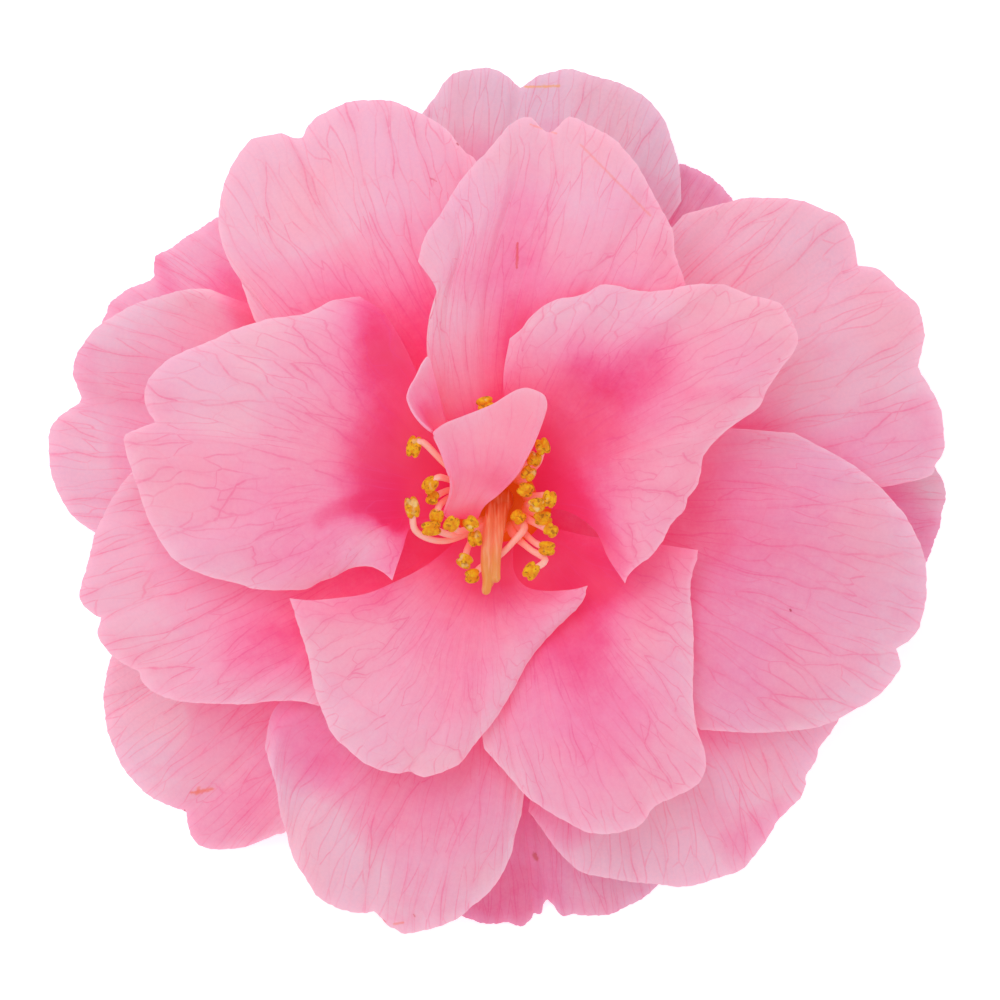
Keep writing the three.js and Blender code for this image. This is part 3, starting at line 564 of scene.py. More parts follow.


# %% [markdown]
# ## Painted light and shade
# Some places of a petal are painted deeper rose and some paler than its distance from the claw alone would
# make them: painted shade where a fold lies in the shade of a neighbour, and painted light where a part
# lies open to the light. Each is a soft stroke. They are worked out for every point and kept as an
# attribute of the mesh, which the material reads.

# %% Soft strokes of painted shade and painted light
# The line of the stroke and its radius in mm, seen from above; amount: above 0 paints shade, below 0 light
PAINTED_SHADING = {
    "inner_left": [
        ([(-12.8, 23), (-12, 18), (-11.4, 13.8), (-13, 9.6), (-14.4, 5.4), (-13, 3)], 5.6, 0.33),
        ([(-12.6, 24), (-12.2, 20)], 5.4, 0.3), ([(-18, 21), (-17, 17)], 4, 0.14),
        ([(-30, 12), (-22, 7)], 8, -0.26), ([(-20, -2), (-15, -4)], 4, -0.08),
        ([(-11.5, -3), (-13.4, -8)], 3.2, 0.34), ([(-27, -8), (-22, -8)], 3, 0.16),
        ([(-21.6, -2.4), (-19.2, -0.8), (-15.2, -0.4), (-12.4, -2.8)], 1.2, 0.24),
        ([(-17.5, -5.4), (-15, -4.4)], 2, -0.14),
    ],
    "inner_right": [
        ([(11, 15.5), (14, 14.6), (18, 17)], 4, 0.2), ([(8, 8), (10, 14)], 4, 0.06),
        ([(7, -1), (13.4, -8)], 3.4, 0.5), ([(19, 9), (25, 13)], 4, -0.12),
        ([(14, 21.5), (20, 22)], 3, -0.1), ([(12, 4), (16, 2)], 4, -0.08),
        ([(24, 22), (32, 24)], 5, -0.12), ([(5, 23), (9, 23)], 3, -0.1),
        ([(1.6, 19), (0.6, 12)], 1.8, 0.14), ([(22.5, 12.6), (27.6, 12.8)], 1, 0.16),
        ([(28, 13), (22.6, 3), (18, -5)], 1.5, 0.1), ([(25, 5.8), (28, 8.6), (31, 11.4)], 0.7, -0.16),
    ],
    "inner_bottom": [
        ([(-11, -17), (-7, -15)], 7, -0.22), ([(9, -11.5), (4, -16)], 2.6, 0.14),
        ([(2, -11), (-2, -9)], 3, 0.1), ([(-25, -13), (-15, -12)], 2.6, 0.24),
        ([(5, -11), (10, -10.6)], 1.6, 0.14), ([(-12, -27), (-8, -32)], 6, -0.12),
    ],
    "inner_top": [
        ([(-7.5, 22), (-6, 13)], 4, -0.42), ([(-2.4, 23), (-1.6, 15)], 2.6, -0.2),
        ([(3, 35), (3, 29.6)], 2.6, 0.16), ([(8, 31), (13, 30)], 5, -0.14),
        ([(2, 22), (3, 18)], 2.6, 0.12), ([(10, 38), (12, 44)], 5, -0.16),
        ([(-6, 31), (-2, 40)], 5, -0.12), ([(16, 27), (20, 28)], 3, 0.12),
    ],
    "inner_low_right": [
        ([(8, -12), (10, -18)], 5, 0.1), ([(22, -6.5), (12, -9)], 4, 0.38),
        ([(15, -20), (17, -17)], 4, -0.06), ([(12, -30), (13, -25)], 5, 0.14),
        ([(6, -37.5), (9, -38)], 3, 0.1), ([(20, -12), (19, -14)], 3, 0.1),
    ],
    "middle_upper_left": [
        ([(-20, 42), (-12, 34)], 9, -0.3), ([(-27, 41), (-24, 34)], 6, -0.4),
        ([(-13, 29), (-10, 22)], 5, 0.1), ([(-18, 24), (-20, 28)], 4, 0.06),
        ([(-23.4, 43), (-21, 37)], 1, 0.1),
    ],
    "middle_lower_left": [([(-29, -18), (-24, -18)], 5, 0.28), ([(-46, -6), (-40, -12)], 7, -0.12)],
    "middle_right": [
        ([(8, -1.4), (12.6, -5)], 3, -0.24), ([(16, -2), (21, -6)], 4, -0.2),
        ([(26, -6), (30, -8)], 5, 0.02), ([(30, 6), (36, 4)], 5, 0.04),
        ([(26, -24), (32, -24)], 4, 0.1), ([(26, -13), (30, -12)], 4, -0.06),
    ],
    "middle_left": [
        ([(-52, 8), (-49, -2)], 5, -0.2), ([(-31, 24), (-29, 20)], 2.6, 0.5),
        ([(-50, 12), (-51, 17)], 2.5, 0.16),
    ],
    "middle_bottom": [
        ([(-25, -26), (-22, -32)], 4, 0.3), ([(-23, -39), (-19, -46)], 5, -0.34),
        ([(-14, -38), (-10, -34)], 5, 0.08),
    ],
    "middle_upper_right": [
        ([(22, 31), (36, 28)], 8, -0.5), ([(42, 26), (46, 18)], 7, -0.2),
        ([(30, 17), (38, 12)], 5, -0.32),
        ([(46, 11), (50, 8)], 4, 0.1), ([(51, 12), (52, 8)], 2, 0.1),
    ],
    "outer_lower_right": [
        ([(4, -36), (9, -41)], 3, 0.32), ([(34, -37.5), (29, -41)], 2.4, 0.24),
        ([(11, -45), (20, -44)], 5, -0.4), ([(19, -36), (24, -33)], 4, -0.2),
        ([(30, -33), (36, -32)], 5, -0.16),
    ],
    "outer_upper_left": [
        ([(-33, 26), (-31, 23)], 2.6, 0.22), ([(-38, 29), (-44, 27)], 5, -0.1),
        ([(-41.3, 28.4), (-39.5, 24.6), (-36.5, 23)], 1.3, 0.24),
    ],
    "outer_lower_left": [
        ([(-46.5, -19), (-45, -24), (-42, -26)], 4, -0.7), ([(-38, -40), (-31, -38)], 4, 0.26),
    ],
    "outer_top": [
        ([(13, 49), (16, 46)], 5, -0.5), ([(8, 50), (4, 48)], 4, -0.1),
        ([(-8, 47), (-2, 48)], 5, -0.2),
    ],
    "back_bottom": [([(-2, -50), (3, -48)], 5, 0.3), ([(10, -45), (16, -46)], 4, -0.12)],
    "back_right": [([(50, 6), (53, 2)], 3.4, -0.46)],
    "back_upper_right": [([(20, 36), (23, 34)], 3, -0.2)],
    "petaloid": [
        ([(-2, -1), (-5, -1)], 2.6, -0.46), ([(-4, 4), (-1, 6)], 3, -0.06),
        ([(1, 11), (4, 10)], 2.4, 0.1), ([(-8, 15), (-8, 10)], 1.3, 0.12),
        ([(-10.4, 14), (-10.4, 12), (-8.6, 8.6)], 1.3, 0.26), ([(-6, 6), (-2, 4)], 3, 0.1),
    ],
}


# %% Work the strokes out for every point of a piece
def stroke_distance(x, y, line):
    """How far each point of the petal is from a line, in mm."""
    nearest = np.full(len(x), np.inf)
    for (x0, y0), (x1, y1) in zip(line[:-1], line[1:]):
        length = math.hypot(x1 - x0, y1 - y0)
        share = np.clip(((x - x0) * (x1 - x0) + (y - y0) * (y1 - y0)) / length**2, 0, 1)
        nearest = np.minimum(nearest, np.hypot(x - mix(x0, x1, share), y - mix(y0, y1, share)))
    return nearest


def add_painted_shading(piece, strokes):
    x, y, _ = points_of(piece).T / MM
    amounts = [
        amount * np.exp(-((stroke_distance(x, y, line) / radius) ** 3)) for line, radius, amount in strokes
    ]
    attribute = piece.data.attributes.new("blush", "FLOAT", "POINT")
    attribute.data.foreach_set("value", np.sum([0 * x, *amounts], axis=0))


# %% Make the petals
petals = {}
for seed, (name, petal) in enumerate(PETALS.items()):
    petals[name] = shaped_grid(f"{name}_petal", COLUMNS, ROWS, petal_place(petal, seed))
    blade_from(petals[name], BLADE)
    add_painted_shading(petals[name], PAINTED_SHADING.get(name, ()))
    hand_over(petals[name], "petal", f"petal_{name}")

# %% [markdown]
# ## The petaloid
# In a semi-double bloom some stamens turn into small twisted petals. This one stands on the ring, leans
# over the middle and carries a second, folded lobe. Its rim is given in height too, because it twists
# too much for the tiers' rule.

# %% Two fans that share a root
# foot, right, left and rim: points in mm, anticlockwise. lift: how far the middle bulges, in mm.
PETALOID_FANS = {
    "blade": dict(
        foot=[(-2.6, -2.1, 19), (-5, -2.1, 19)],
        right=[
            (-1.8, -0.7, 21.6), (-0.1, 0.7, 23.4), (2, 2.9, 25.4), (3.1, 4.8, 26.4), (4.1, 6.7, 27.2),
            (4.9, 8.8, 27.8),
        ],
        left=[
            (-6.6, -1.9, 21.2), (-5.8, 0.2, 22.6), (-5.5, 1.8, 23.7), (-5.9, 3.4, 24.7),
            (-6.4, 5.2, 25.5),
        ],
        rim=[
            (5.5, 10.8, 28.2), (5.6, 11.7, 28.3), (5.3, 12.5, 28.4), (4.5, 13, 28.2), (3.2, 13.4, 28),
            (2.1, 13.2, 27.6), (0.8, 12.5, 27), (-0.8, 11.5, 26.4), (-2.7, 10.7, 25.8),
            (-4.5, 10, 25.8), (-6.3, 9.3, 26.5), (-7.4, 8.6, 27.1), (-8, 7.9, 27.2), (-7.2, 7, 26.6),
        ],
        lift=0.7,
    ),
    "lobe": dict(
        foot=[(-6.9, 7.2, 25.7), (-5.9, 9, 25.3)], right=[], left=[],
        rim=[
            (-8.2, 8.2, 26.7), (-9.3, 9.1, 27.4), (-10.3, 10.3, 28), (-10.9, 11.5, 28),
            (-11.1, 12.4, 28), (-10.7, 13.6, 27.9), (-10, 14.8, 27.8), (-9.3, 16.3, 27.4),
            (-8.6, 17.1, 27), (-8.8, 15.4, 26.4), (-8.6, 13, 25.6), (-8, 11.2, 25.2),
            (-7.1, 10, 25),
        ],
        lift=-0.9,
    ),
}


FAN_BLADE, FAN_THINNING = 0.4 * MM, 0.6
FAN_COLUMNS, FAN_ROWS = 60, 36
FAN_RIPPLES, FAN_RIPPLE_HEIGHT = 22, 0.12  # the height in mm


def fan_place(foot, right, left, rim, lift):
    right = smooth_line([foot[0], *right, rim[0]])
    left = smooth_line([foot[-1], *left, rim[-1]])
    foot, rim = smooth_line(foot), smooth_line(rim)

    def place(across, along):
        points = stretched(foot, rim, right, left, 1 - across, along)
        ripples = FAN_RIPPLE_HEIGHT * along * np.sin(FAN_RIPPLES * across)
        points[:, 2] += lift * np.sin(np.pi * along) + ripples
        return points

    return place


fans = []
for part, fan in PETALOID_FANS.items():
    fans.append(shaped_grid(f"petaloid_{part}", FAN_COLUMNS, FAN_ROWS, fan_place(**fan)))
for fan in fans:
    blade_from(fan, FAN_BLADE, FAN_THINNING)
petaloid = join("twisted_petaloid", *fans)
add_painted_shading(petaloid, PAINTED_SHADING["petaloid"])
hand_over(petaloid, "petal", "petaloid")

# %% [markdown]
# ## Stamens
# The filaments of a camellia are joined at their foot in a short ring and open out like the spokes of a
# crown. A tube that follows a line does for each: a grid rolled round the line, closed at both ends
# because its radius runs out to nothing there.

# %% Where each filament goes
# The root's angle on the ring in degrees, points that the filament passes in mm (the last is its tip),
# and its anther's turn in degrees and length in mm
STAMENS = [
    (5, [(5.2, 0.6, 22), (5.9, 0.1, 25.2)], 80, 2.0),
    (350, [(4, -0.5, 22.5), (4.4, -0.6, 26)], 8, 2.0),
    (25, [(3.3, 1.3, 21.5), (3.1, 1.2, 24.2)], 165, 2.0),
    (42, [(3.4, 2.7, 21.8), (3.4, 3.2, 24.6)], 60, 1.8),
    (58, [(3.2, 4.1, 21.2), (4.1, 4.9, 24.2)], 75, 1.8),
    (50, [(4.4, 4.2, 21), (5.1, 6.4, 24.8)], 110, 2.0),
    (75, [(0.9, 4.8, 20.2), (0.9, 6.8, 22.2)], 20, 1.8),
    (100, [(-1.2, 7, 20.6), (-1.8, 11.5, 24)], 15, 2.1),
    (122, [(-2.8, 4.5, 20), (-3.4, 6.2, 22)], 140, 1.8),
    (142, [(-6, 3.8, 22.2), (-9.2, 6.9, 25.2), (-10.3, 6.4, 25)], 76, 2.6),
    (152, [(-5.9, 2.4, 21), (-7.4, 2.7, 24.4), (-8.4, 1.8, 24.8)], 48, 2.1),
    (160, [(-6, 1.2, 19.6), (-8.1, 0.3, 23.2)], 170, 1.5),
    (237, [(-6.5, -4.9, 21.2), (-10, -3.8, 23.4), (-10.5, -0.9, 25)], 102, 2.6),
    (170, [(-5.7, 0.4, 18.8), (-7.2, -0.6, 21.8), (-7.6, -1.9, 24.2)], 75, 1.6),
    (233, [(-5.4, -4.2, 21.2), (-8.2, -3.4, 25)], 3, 2.4),
    (229, [(-4.7, -3.7, 21.4), (-5.8, -2.9, 26)], 55, 2.0),
    (242, [(-3.1, -3.7, 21.4), (-3.5, -2.8, 25.2)], 130, 1.8),
    (240, [(-3.1, -4.8, 20.4), (-3, -4.6, 23.8)], 100, 1.9),
    (232, [(-3.8, -5.6, 20.4), (-4.2, -7.3, 24)], 150, 1.9),
    (
        312, [(2.9, -3.4, 20.8), (1.5, -5.1, 21.2), (0.1, -6.5, 21.2), (-2.2, -8, 22), (-3.3, -9.1, 23.2)],
        12, 1.8,
    ),
    (292, [(1.7, -4.2, 18.8), (3.6, -5.9, 21.4), (5.4, -7.2, 23.4), (3.7, -8.5, 24.4)], 55, 2.2),
    (304, [(3.9, -4.9, 20.6), (5.6, -5.8, 24)], 175, 2.0),
    (325, [(4.6, -3, 21.4), (6.1, -3.6, 25)], 60, 1.6),
    (340, [(4.6, -1.8, 20.4), (5.1, -2.2, 23.4)], 5, 2.2),
    (315, [(2.5, -2.6, 18.6), (2.2, -2, 20.6)], 40, 1.7),
]
RING_RADIUS = (2.8, 4.0)  # inside and outside
RING_HEIGHT = (15.25, 17.6)  # foot and top
FILAMENT_RADIUS = 0.45


# %% A tube round a line
LOOK_AHEAD = 0.01  # the share of a line over which its direction is measured


def tube_place(way, sideways, radius_at):
    """The formula of a tube round a line. Its section starts in the direction sideways."""
    line = smooth_line(way)
    sideways = np.array(sideways, float)

    def place(across, along):
        ahead = line(np.clip(along + LOOK_AHEAD, 0, 1)) - line(np.clip(along - LOOK_AHEAD, 0, 1))
        ahead /= np.linalg.norm(ahead, axis=1)[:, None]
        left = np.cross(ahead, sideways)
        left /= np.linalg.norm(left, axis=1)[:, None]
        up = np.cross(left, ahead)
        turn = 2 * np.pi * across
        radius = radius_at(along, turn)[:, None]
        return line(along) + radius * (np.cos(turn)[:, None] * up + np.sin(turn)[:, None] * left)

    return place


def round_ends(along, length_of_end):
    """1 along a tube, and a round way down to 0 at its two ends."""
    inside = np.minimum(along, 1 - along) / length_of_end
    return np.sqrt(1 - (1 - np.clip(inside, 0, 1)) ** 2)


# %% The filaments
def filament_radius(along, turn):
    return FILAMENT_RADIUS * (1.15 - 0.4 * along + 0.1 * np.sin(9 * along)) * round_ends(along, 0.06)


filaments = []
ring_middle = sum(RING_RADIUS) / 2
for number, (root, way, *_) in enumerate(STAMENS):
    angle = math.radians(root)
    foot = (ring_middle * math.cos(angle), ring_middle * math.sin(angle))
    points = [(*foot, RING_HEIGHT[1] - 1.2), (*foot, RING_HEIGHT[1] + 0.4), *way]
    # Level, and square to the way from foot to tip, so that the tube never runs along it
    sideways = (foot[1] - way[-1][1], way[-1][0] - foot[0], 0.01)
    piece = shaped_grid(f"filament_{number}", 12, 30, tube_place(points, sideways, filament_radius))
    close_seams(piece)
    filaments.append(piece)
print(len(filaments), "filaments")


# %% The ring that the filaments grow from, ribbed by their feet
RIBS, RIB_DEPTH = 26, 0.12


def ring_place(across, along):
    turn, section = 2 * np.pi * across, 2 * np.pi * along
    ribs = RIB_DEPTH * np.cos(RIBS * turn)
    half_width = (RING_RADIUS[1] - RING_RADIUS[0]) / 2
    half_height = (RING_HEIGHT[1] - RING_HEIGHT[0]) / 2
    radius = ring_middle + (half_width + ribs - RIB_DEPTH) * np.cos(section)
    height = sum(RING_HEIGHT) / 2 + half_height * np.sin(section)
    return np.stack([radius * np.cos(turn), radius * np.sin(turn), height], axis=-1)


ring = shaped_grid("stamen_ring", RIBS * 8, 20, ring_place)
close_seams(ring)
ring = join("filaments", ring, *filaments)
smooth_shading(ring, 70)
hand_over(ring, "filament", "stamens")

# %% [markdown]
# ## Anthers
# An anther is two pollen sacs side by side with a groove between them. Two squashed spheres melted
# together by a voxel remesh have that form. The grains are a small random push of every point. One
# anther is modelled, and each stamen gets a copy with its own mesh.

# %% One anther
SAC_SHAPE = (1, 0.64, 0.8)  # length, width and depth in mm
SAC_OFFSET = 0.19
SAC_SPREAD, SAC_BOW = 0.15, 0.3  # how far its ends turn apart and down, in mm a square mm
POLLEN_GRAIN = 0.022

sacs = []
for side in (-1, 1):
    bpy.ops.object.select_all(action="DESELECT")
    bpy.ops.mesh.primitive_uv_sphere_add(segments=24, ring_count=16, radius=MM / 2, location=(0, 0, 0))
    sac = bpy.context.object
    with edit_mode(sac):
        bpy.ops.transform.resize(value=SAC_SHAPE, center_override=(0, 0, 0))
        bpy.ops.transform.translate(value=(0, side * SAC_OFFSET * MM, 0))
    points = points_of(sac)
    points[:, 1] += SAC_SPREAD * points[:, 0] ** 2 / MM * side
    points[:, 2] -= SAC_BOW * points[:, 0] ** 2 / MM
    move_points(sac, points)
    sacs.append(sac)
anther = join("anther", *sacs)
apply_modifier(anther, "REMESH", mode="VOXEL", voxel_size=0.042 * MM)
apply_modifier(anther, "SMOOTH", iterations=2)
with edit_mode(anther):
    bpy.ops.transform.vertex_random(offset=POLLEN_GRAIN * MM, uniform=0.4, normal=0.8, seed=5)
smooth_shading(anther, 80)
print("one anther has", len(anther.data.polygons), "faces and is 1 mm long")

# %% A copy for each stamen
ANTHER_WIDTH, ANTHER_DEPTH = 1.7, 1.6
TILT, ROLL = 0.35, 0.5  # how far an anther leans to either side, in radians

copies = []
for number, (_, way, turn, length) in enumerate(STAMENS):
    copy = anther.copy()
    copy.data = anther.data.copy()
    bpy.context.scene.collection.objects.link(copy)
    tilt = TILT * math.sin(2.4 * number)
    roll = ROLL * math.sin(1.7 * number + 1)
    spin = Matrix.Rotation(math.radians(turn), 4, "Z") @ Matrix.Rotation(tilt, 4, "Y")
    copy.data.transform(
        Matrix.Translation([c * MM for c in way[-1]]) @ spin @ Matrix.Rotation(roll, 4, "X")
        @ Matrix.Diagonal((length, ANTHER_WIDTH, ANTHER_DEPTH, 1))
    )
    copies.append(copy)
bpy.data.objects.remove(anther)
anthers = join("pollen_anthers", *copies)
hand_over(anthers, "anther", "stamens")

# %% [markdown]
# ## The pistil
# Three carpels are fused into one ribbed style that parts into three arms at its tip. Three strands that
# run side by side and then spread, melted into one with a round ovary below, give the ribs and the arms
# at once.

# %% Ovary, strands and arms
OVARY_MIDDLE, OVARY_RADIUS = (0, 0, 16.9 * MM), 1.65 * MM
STYLE_WAY = [(0, 0, 16.9), (-0.4, -1.6, 19), (-0.9, -4.6, 22.4), (-1.1, -7.6, 24.6)]
# Each arm: where its strand runs beside the way, across and up, and the points of its tip
STYLE_ARMS = {
    "left": ((-0.58, 0.0), [(-1.5, -9.6, 25.5), (-1.75, -11.4, 26)]),
    "right": ((0.58, 0.0), [(-0.5, -9.2, 25.3), (-0.35, -9.9, 25.6)]),
    "under": ((0.0, -0.55), [(-1.2, -9.4, 24.7), (-1.4, -10.5, 24.8)]),
}
STRAND_RADIUS = 0.71


def strand_radius(along, turn):
    return STRAND_RADIUS * (1.2 - 0.42 * along) * (1 + 0.06 * np.sin(4 * turn)) * round_ends(along, 0.05)


bpy.ops.object.select_all(action="DESELECT")
bpy.ops.mesh.primitive_uv_sphere_add(
    segments=32, ring_count=20, radius=OVARY_RADIUS, location=OVARY_MIDDLE
)
ovary = bpy.context.object
bpy.ops.object.transform_apply(location=True)
strands = []
for arm, ((across, up), tip) in STYLE_ARMS.items():
    way = [(x + across, y, z + up) for x, y, z in STYLE_WAY] + tip
    strand = shaped_grid(f"strand_{arm}", 24, 70, tube_place(way, (1, 0, 0), strand_radius))
    close_seams(strand)
    strands.append(strand)
pistil = join("ribbed_style", ovary, *strands)
apply_modifier(pistil, "REMESH", mode="VOXEL", voxel_size=0.11 * MM)
apply_modifier(pistil, "SMOOTH", iterations=3)
smooth_shading(pistil, 80)
hand_over(pistil, "pistil", "pistil")

# %% [markdown]
# ## Receptacle and calyx
# Below the petals the stalk's end widens to the receptacle, and five silky sepals clasp it. The
# receptacle is turned: a disc extruded upwards and scaled ring by ring. The sepals are cupped blades,
# each a little above the last so that they overlap.

# %% The receptacle
SCAR_RADIUS = 2.3
PROFILE = [  # radius and height in mm, from the scar upwards
    (2.5, 0.2), (2.75, 0.9), (2.8, 2.4), (2.8, 5.0), (4.4, 5.4), (6.3, 6.0), (7.25, 6.5), (7.3, 7.0),
    (6.6, 8.6), (5.4, 11.4), (4.2, 13.3), (3.9, 13.8), (3.5, 14.6), (2.4, 14.65), (0.8, 14.68),
]
bpy.ops.object.select_all(action="DESELECT")
bpy.ops.mesh.primitive_circle_add(
    vertices=48, radius=SCAR_RADIUS * MM, fill_type="NGON", location=(0, 0, 0)
)
receptacle = bpy.context.object
receptacle.name = receptacle.data.name = "flower_base"
with edit_mode(receptacle):
    last_radius, last_height = SCAR_RADIUS, 0
    for radius, height in PROFILE:
        rise = (0, 0, (height - last_height) * MM)
        bpy.ops.mesh.extrude_region_move(TRANSFORM_OT_translate={"value": rise})
        share = radius / last_radius
        bpy.ops.transform.resize(value=(share, share, 1), center_override=(0, 0, height * MM))
        last_radius, last_height = radius, height
    bpy.ops.mesh.select_all(action="SELECT")
    bpy.ops.mesh.normals_make_consistent(inside=False)
smooth_shading(receptacle, 55)
hand_over(receptacle, "receptacle", "receptacle")

# %% The sepals
SEPALS = 5
SEPAL_STEPS = (0, 1.3, 0, 1.3, 2.6)  # how much higher than the lowest each one lies, in mm
SEPAL_ROOT, SEPAL_LENGTH = 3.4, 12  # distances from the middle of the bloom, in mm
SEPAL_BASE, SEPAL_CUP = 1, 1.6  # the lowest sepal's height and how far it cups, in mm
SEPAL_HALF_ANGLE = 47
SEPAL_BLADE, SEPAL_THINNING = 0.8 * MM, 0.4


def sepal_place(index):
    turn = math.radians(360 / SEPALS) * index

    def place(across, along):
        side = 1 - 2 * across
        length = SEPAL_LENGTH * np.sqrt(1 - 0.55 * side**4) - 0.25 * np.exp(-((side / 0.12) ** 2))
        angle = turn + math.radians(SEPAL_HALF_ANGLE) * side * np.sin(np.pi * (0.25 + 0.35 * along))
        distance = mix(SEPAL_ROOT, length, along)
        out = (distance - SEPAL_ROOT) / (SEPAL_LENGTH - SEPAL_ROOT)
        z = SEPAL_BASE + SEPAL_STEPS[index] + SEPAL_CUP * np.sin(1.9 * out)
        z = z + 0.05 * along * np.sin(24 * side + index)
        return np.stack([distance * np.cos(angle), distance * np.sin(angle), z], axis=-1)

    return place


sepals = []
for index in range(SEPALS):
    sepal = shaped_grid(f"calyx_leaf_{index + 1}", 48, 32, sepal_place(index))
    blade_from(sepal, SEPAL_BLADE, SEPAL_THINNING)
    hand_over(sepal, "sepal", f"sepal_{index + 1}")
    sepals.append(sepal)

# %% [markdown]
# ## Shader maths
# Patterns are sums, maxima and smooth steps of a few numbers that change over a surface. Written with
# Python's own operators they read like the formula that they are: a small class wraps a socket, and
# each operator adds its Math node.

# %% A number inside a material
class Signal:
    def __init__(self, paint, socket):
        self.paint, self.socket = paint, socket

    def _math(self, operation, first, second=None):
        return self.paint.node("ShaderNodeMath", {"operation": operation}, {0: first, 1: second})

    def __add__(self, other):
        return self._math("ADD", self, other)

    def __sub__(self, other):
        return self._math("SUBTRACT", self, other)

    def __rsub__(self, other):
        return self._math("SUBTRACT", other, self)

    def __mul__(self, other):
        return self._math("MULTIPLY", self, other)

    def __truediv__(self, other):
        return self._math("DIVIDE", self, other)

    def __abs__(self):
        return self._math("ABSOLUTE", self)

    __radd__, __rmul__ = __add__, __mul__

    def most(self, other):
        return self._math("MAXIMUM", self, other)

    def step(self, low, high, bottom=0.0, top=1.0):
        """A smooth rise from bottom, where the number is low, to top, where it is high."""
        settings = {"interpolation_type": "SMOOTHSTEP"}
        values = {"Value": self, "From Min": low, "From Max": high, "To Min": bottom, "To Max": top}
        return self.paint.node("ShaderNodeMapRange", settings, values)


# %% A material, and the one method that adds any node to it
class Paint:

    def __init__(self, name):
        self.material = bpy.data.materials.new(name)
        self.material.use_nodes = True
        self.tree = self.material.node_tree
        self.tree.nodes.clear()

    def node(self, kind, settings=None, values=None, output=0):
        """Adds a node: its settings come first, then the values or links of its sockets."""
        node = self.tree.nodes.new(kind)
        for key, value in (settings or {}).items():
            if key == "stops":
                ramp = node.color_ramp
                while len(ramp.elements) < len(value):
                    ramp.elements.new(0.5)
                for element, (position, colour) in zip(ramp.elements, value):
                    element.position, element.color = position, colour
            else:
                setattr(node, key, value)
        for key, value in (values or {}).items():
            if isinstance(value, Signal):
                self.tree.links.new(value.socket, node.inputs[key])
            elif value is not None:
                node.inputs[key].default_value = value
        return Signal(self, node.outputs[output]) if node.outputs else None

    def place(self, source="Object"):
        return self.node("ShaderNodeTexCoord", output=source)

    def part(self, vector, axis):
        return self.node("ShaderNodeSeparateXYZ", values={0: vector}, output=axis)

    def vector(self, x, y, z=0.0):
        return self.node("ShaderNodeCombineXYZ", values={0: x, 1: y, 2: z})

    def noise(self, vector, scale, detail=2.0, roughness=0.5):
        """Object coordinates are in metres, so a scale of 100 gives patches of about 10 mm."""
        values = {"Vector": vector, "Scale": scale, "Detail": detail, "Roughness": roughness}
        return self.node("ShaderNodeTexNoise", values=values)

    def ramp(self, at, stops):
        """A colour that runs through stops, each a position and a colour as a screen shows it."""
        settings = {"stops": [(position, tint(*colour)) for position, colour in stops]}
        return self.node("ShaderNodeValToRGB", settings, {0: at})

    def blend(self, share, under, over):
        return self.node("ShaderNodeMix", {"data_type": "RGBA"}, {0: share, 6: under, 7: over}, output=2)

    def bump(self, height, distance, strength=1.0):
        values = {"Height": height, "Distance": distance, "Strength": strength}
        return self.node("ShaderNodeBump", values=values)

    def finish(self, **sockets):
        """Adds the Principled shader. A socket's name has _ for its spaces."""
        values = {key.replace("_", " ").replace("BaseColor", "Base Color"): v for key, v in sockets.items()}
        shader = self.node("ShaderNodeBsdfPrincipled", values=values)
        self.node("ShaderNodeOutputMaterial", values={"Surface": shader})
        return self.material


# %% Colours, and giving a piece its finish
def tint(red, green, blue):
    """A colour as a screen shows it, 0 to 255, turned to linear light."""
    def linear(value):
        value /= 255
        return value / 12.92 if value <= 0.04045 else ((value + 0.055) / 1.055) ** 2.4

    return (linear(red), linear(green), linear(blue), 1.0)


def dress(piece, material):
    piece.data.materials.clear()
    piece.data.materials.append(material)
    print(f"{piece.name} wears {material.name}, made of {len(material.node_tree.nodes)} nodes")


# %% [markdown]
# ## Petal pink
# A petal is deep rose at its claw and fades to a cool pale pink at its rim. Its veins are the seams
# between long cells that lie side by side from claw to rim: where three cells meet, a vein forks. Some
# seams are left faint, so that veins end in the open. One net of large cells gives the main veins and one
# of small cells the fine ones. Brown scratches and specks are short strokes in the bloom's own
# coordinates.

# %% Veins that fork from claw to rim
PETAL_LENGTH, CLAW_WIDTH, RIM_WIDTH = 42.0, 12.0, 52.0  # mm, of a middling petal
MAIN_VEINS = {"cells_across": 13, "cells_along": 2.4, "width": 0.27, "halo": 0.3}
FINE_VEINS = {"cells_across": 36, "cells_along": 6.5, "width": 0.2, "halo": 0.0}


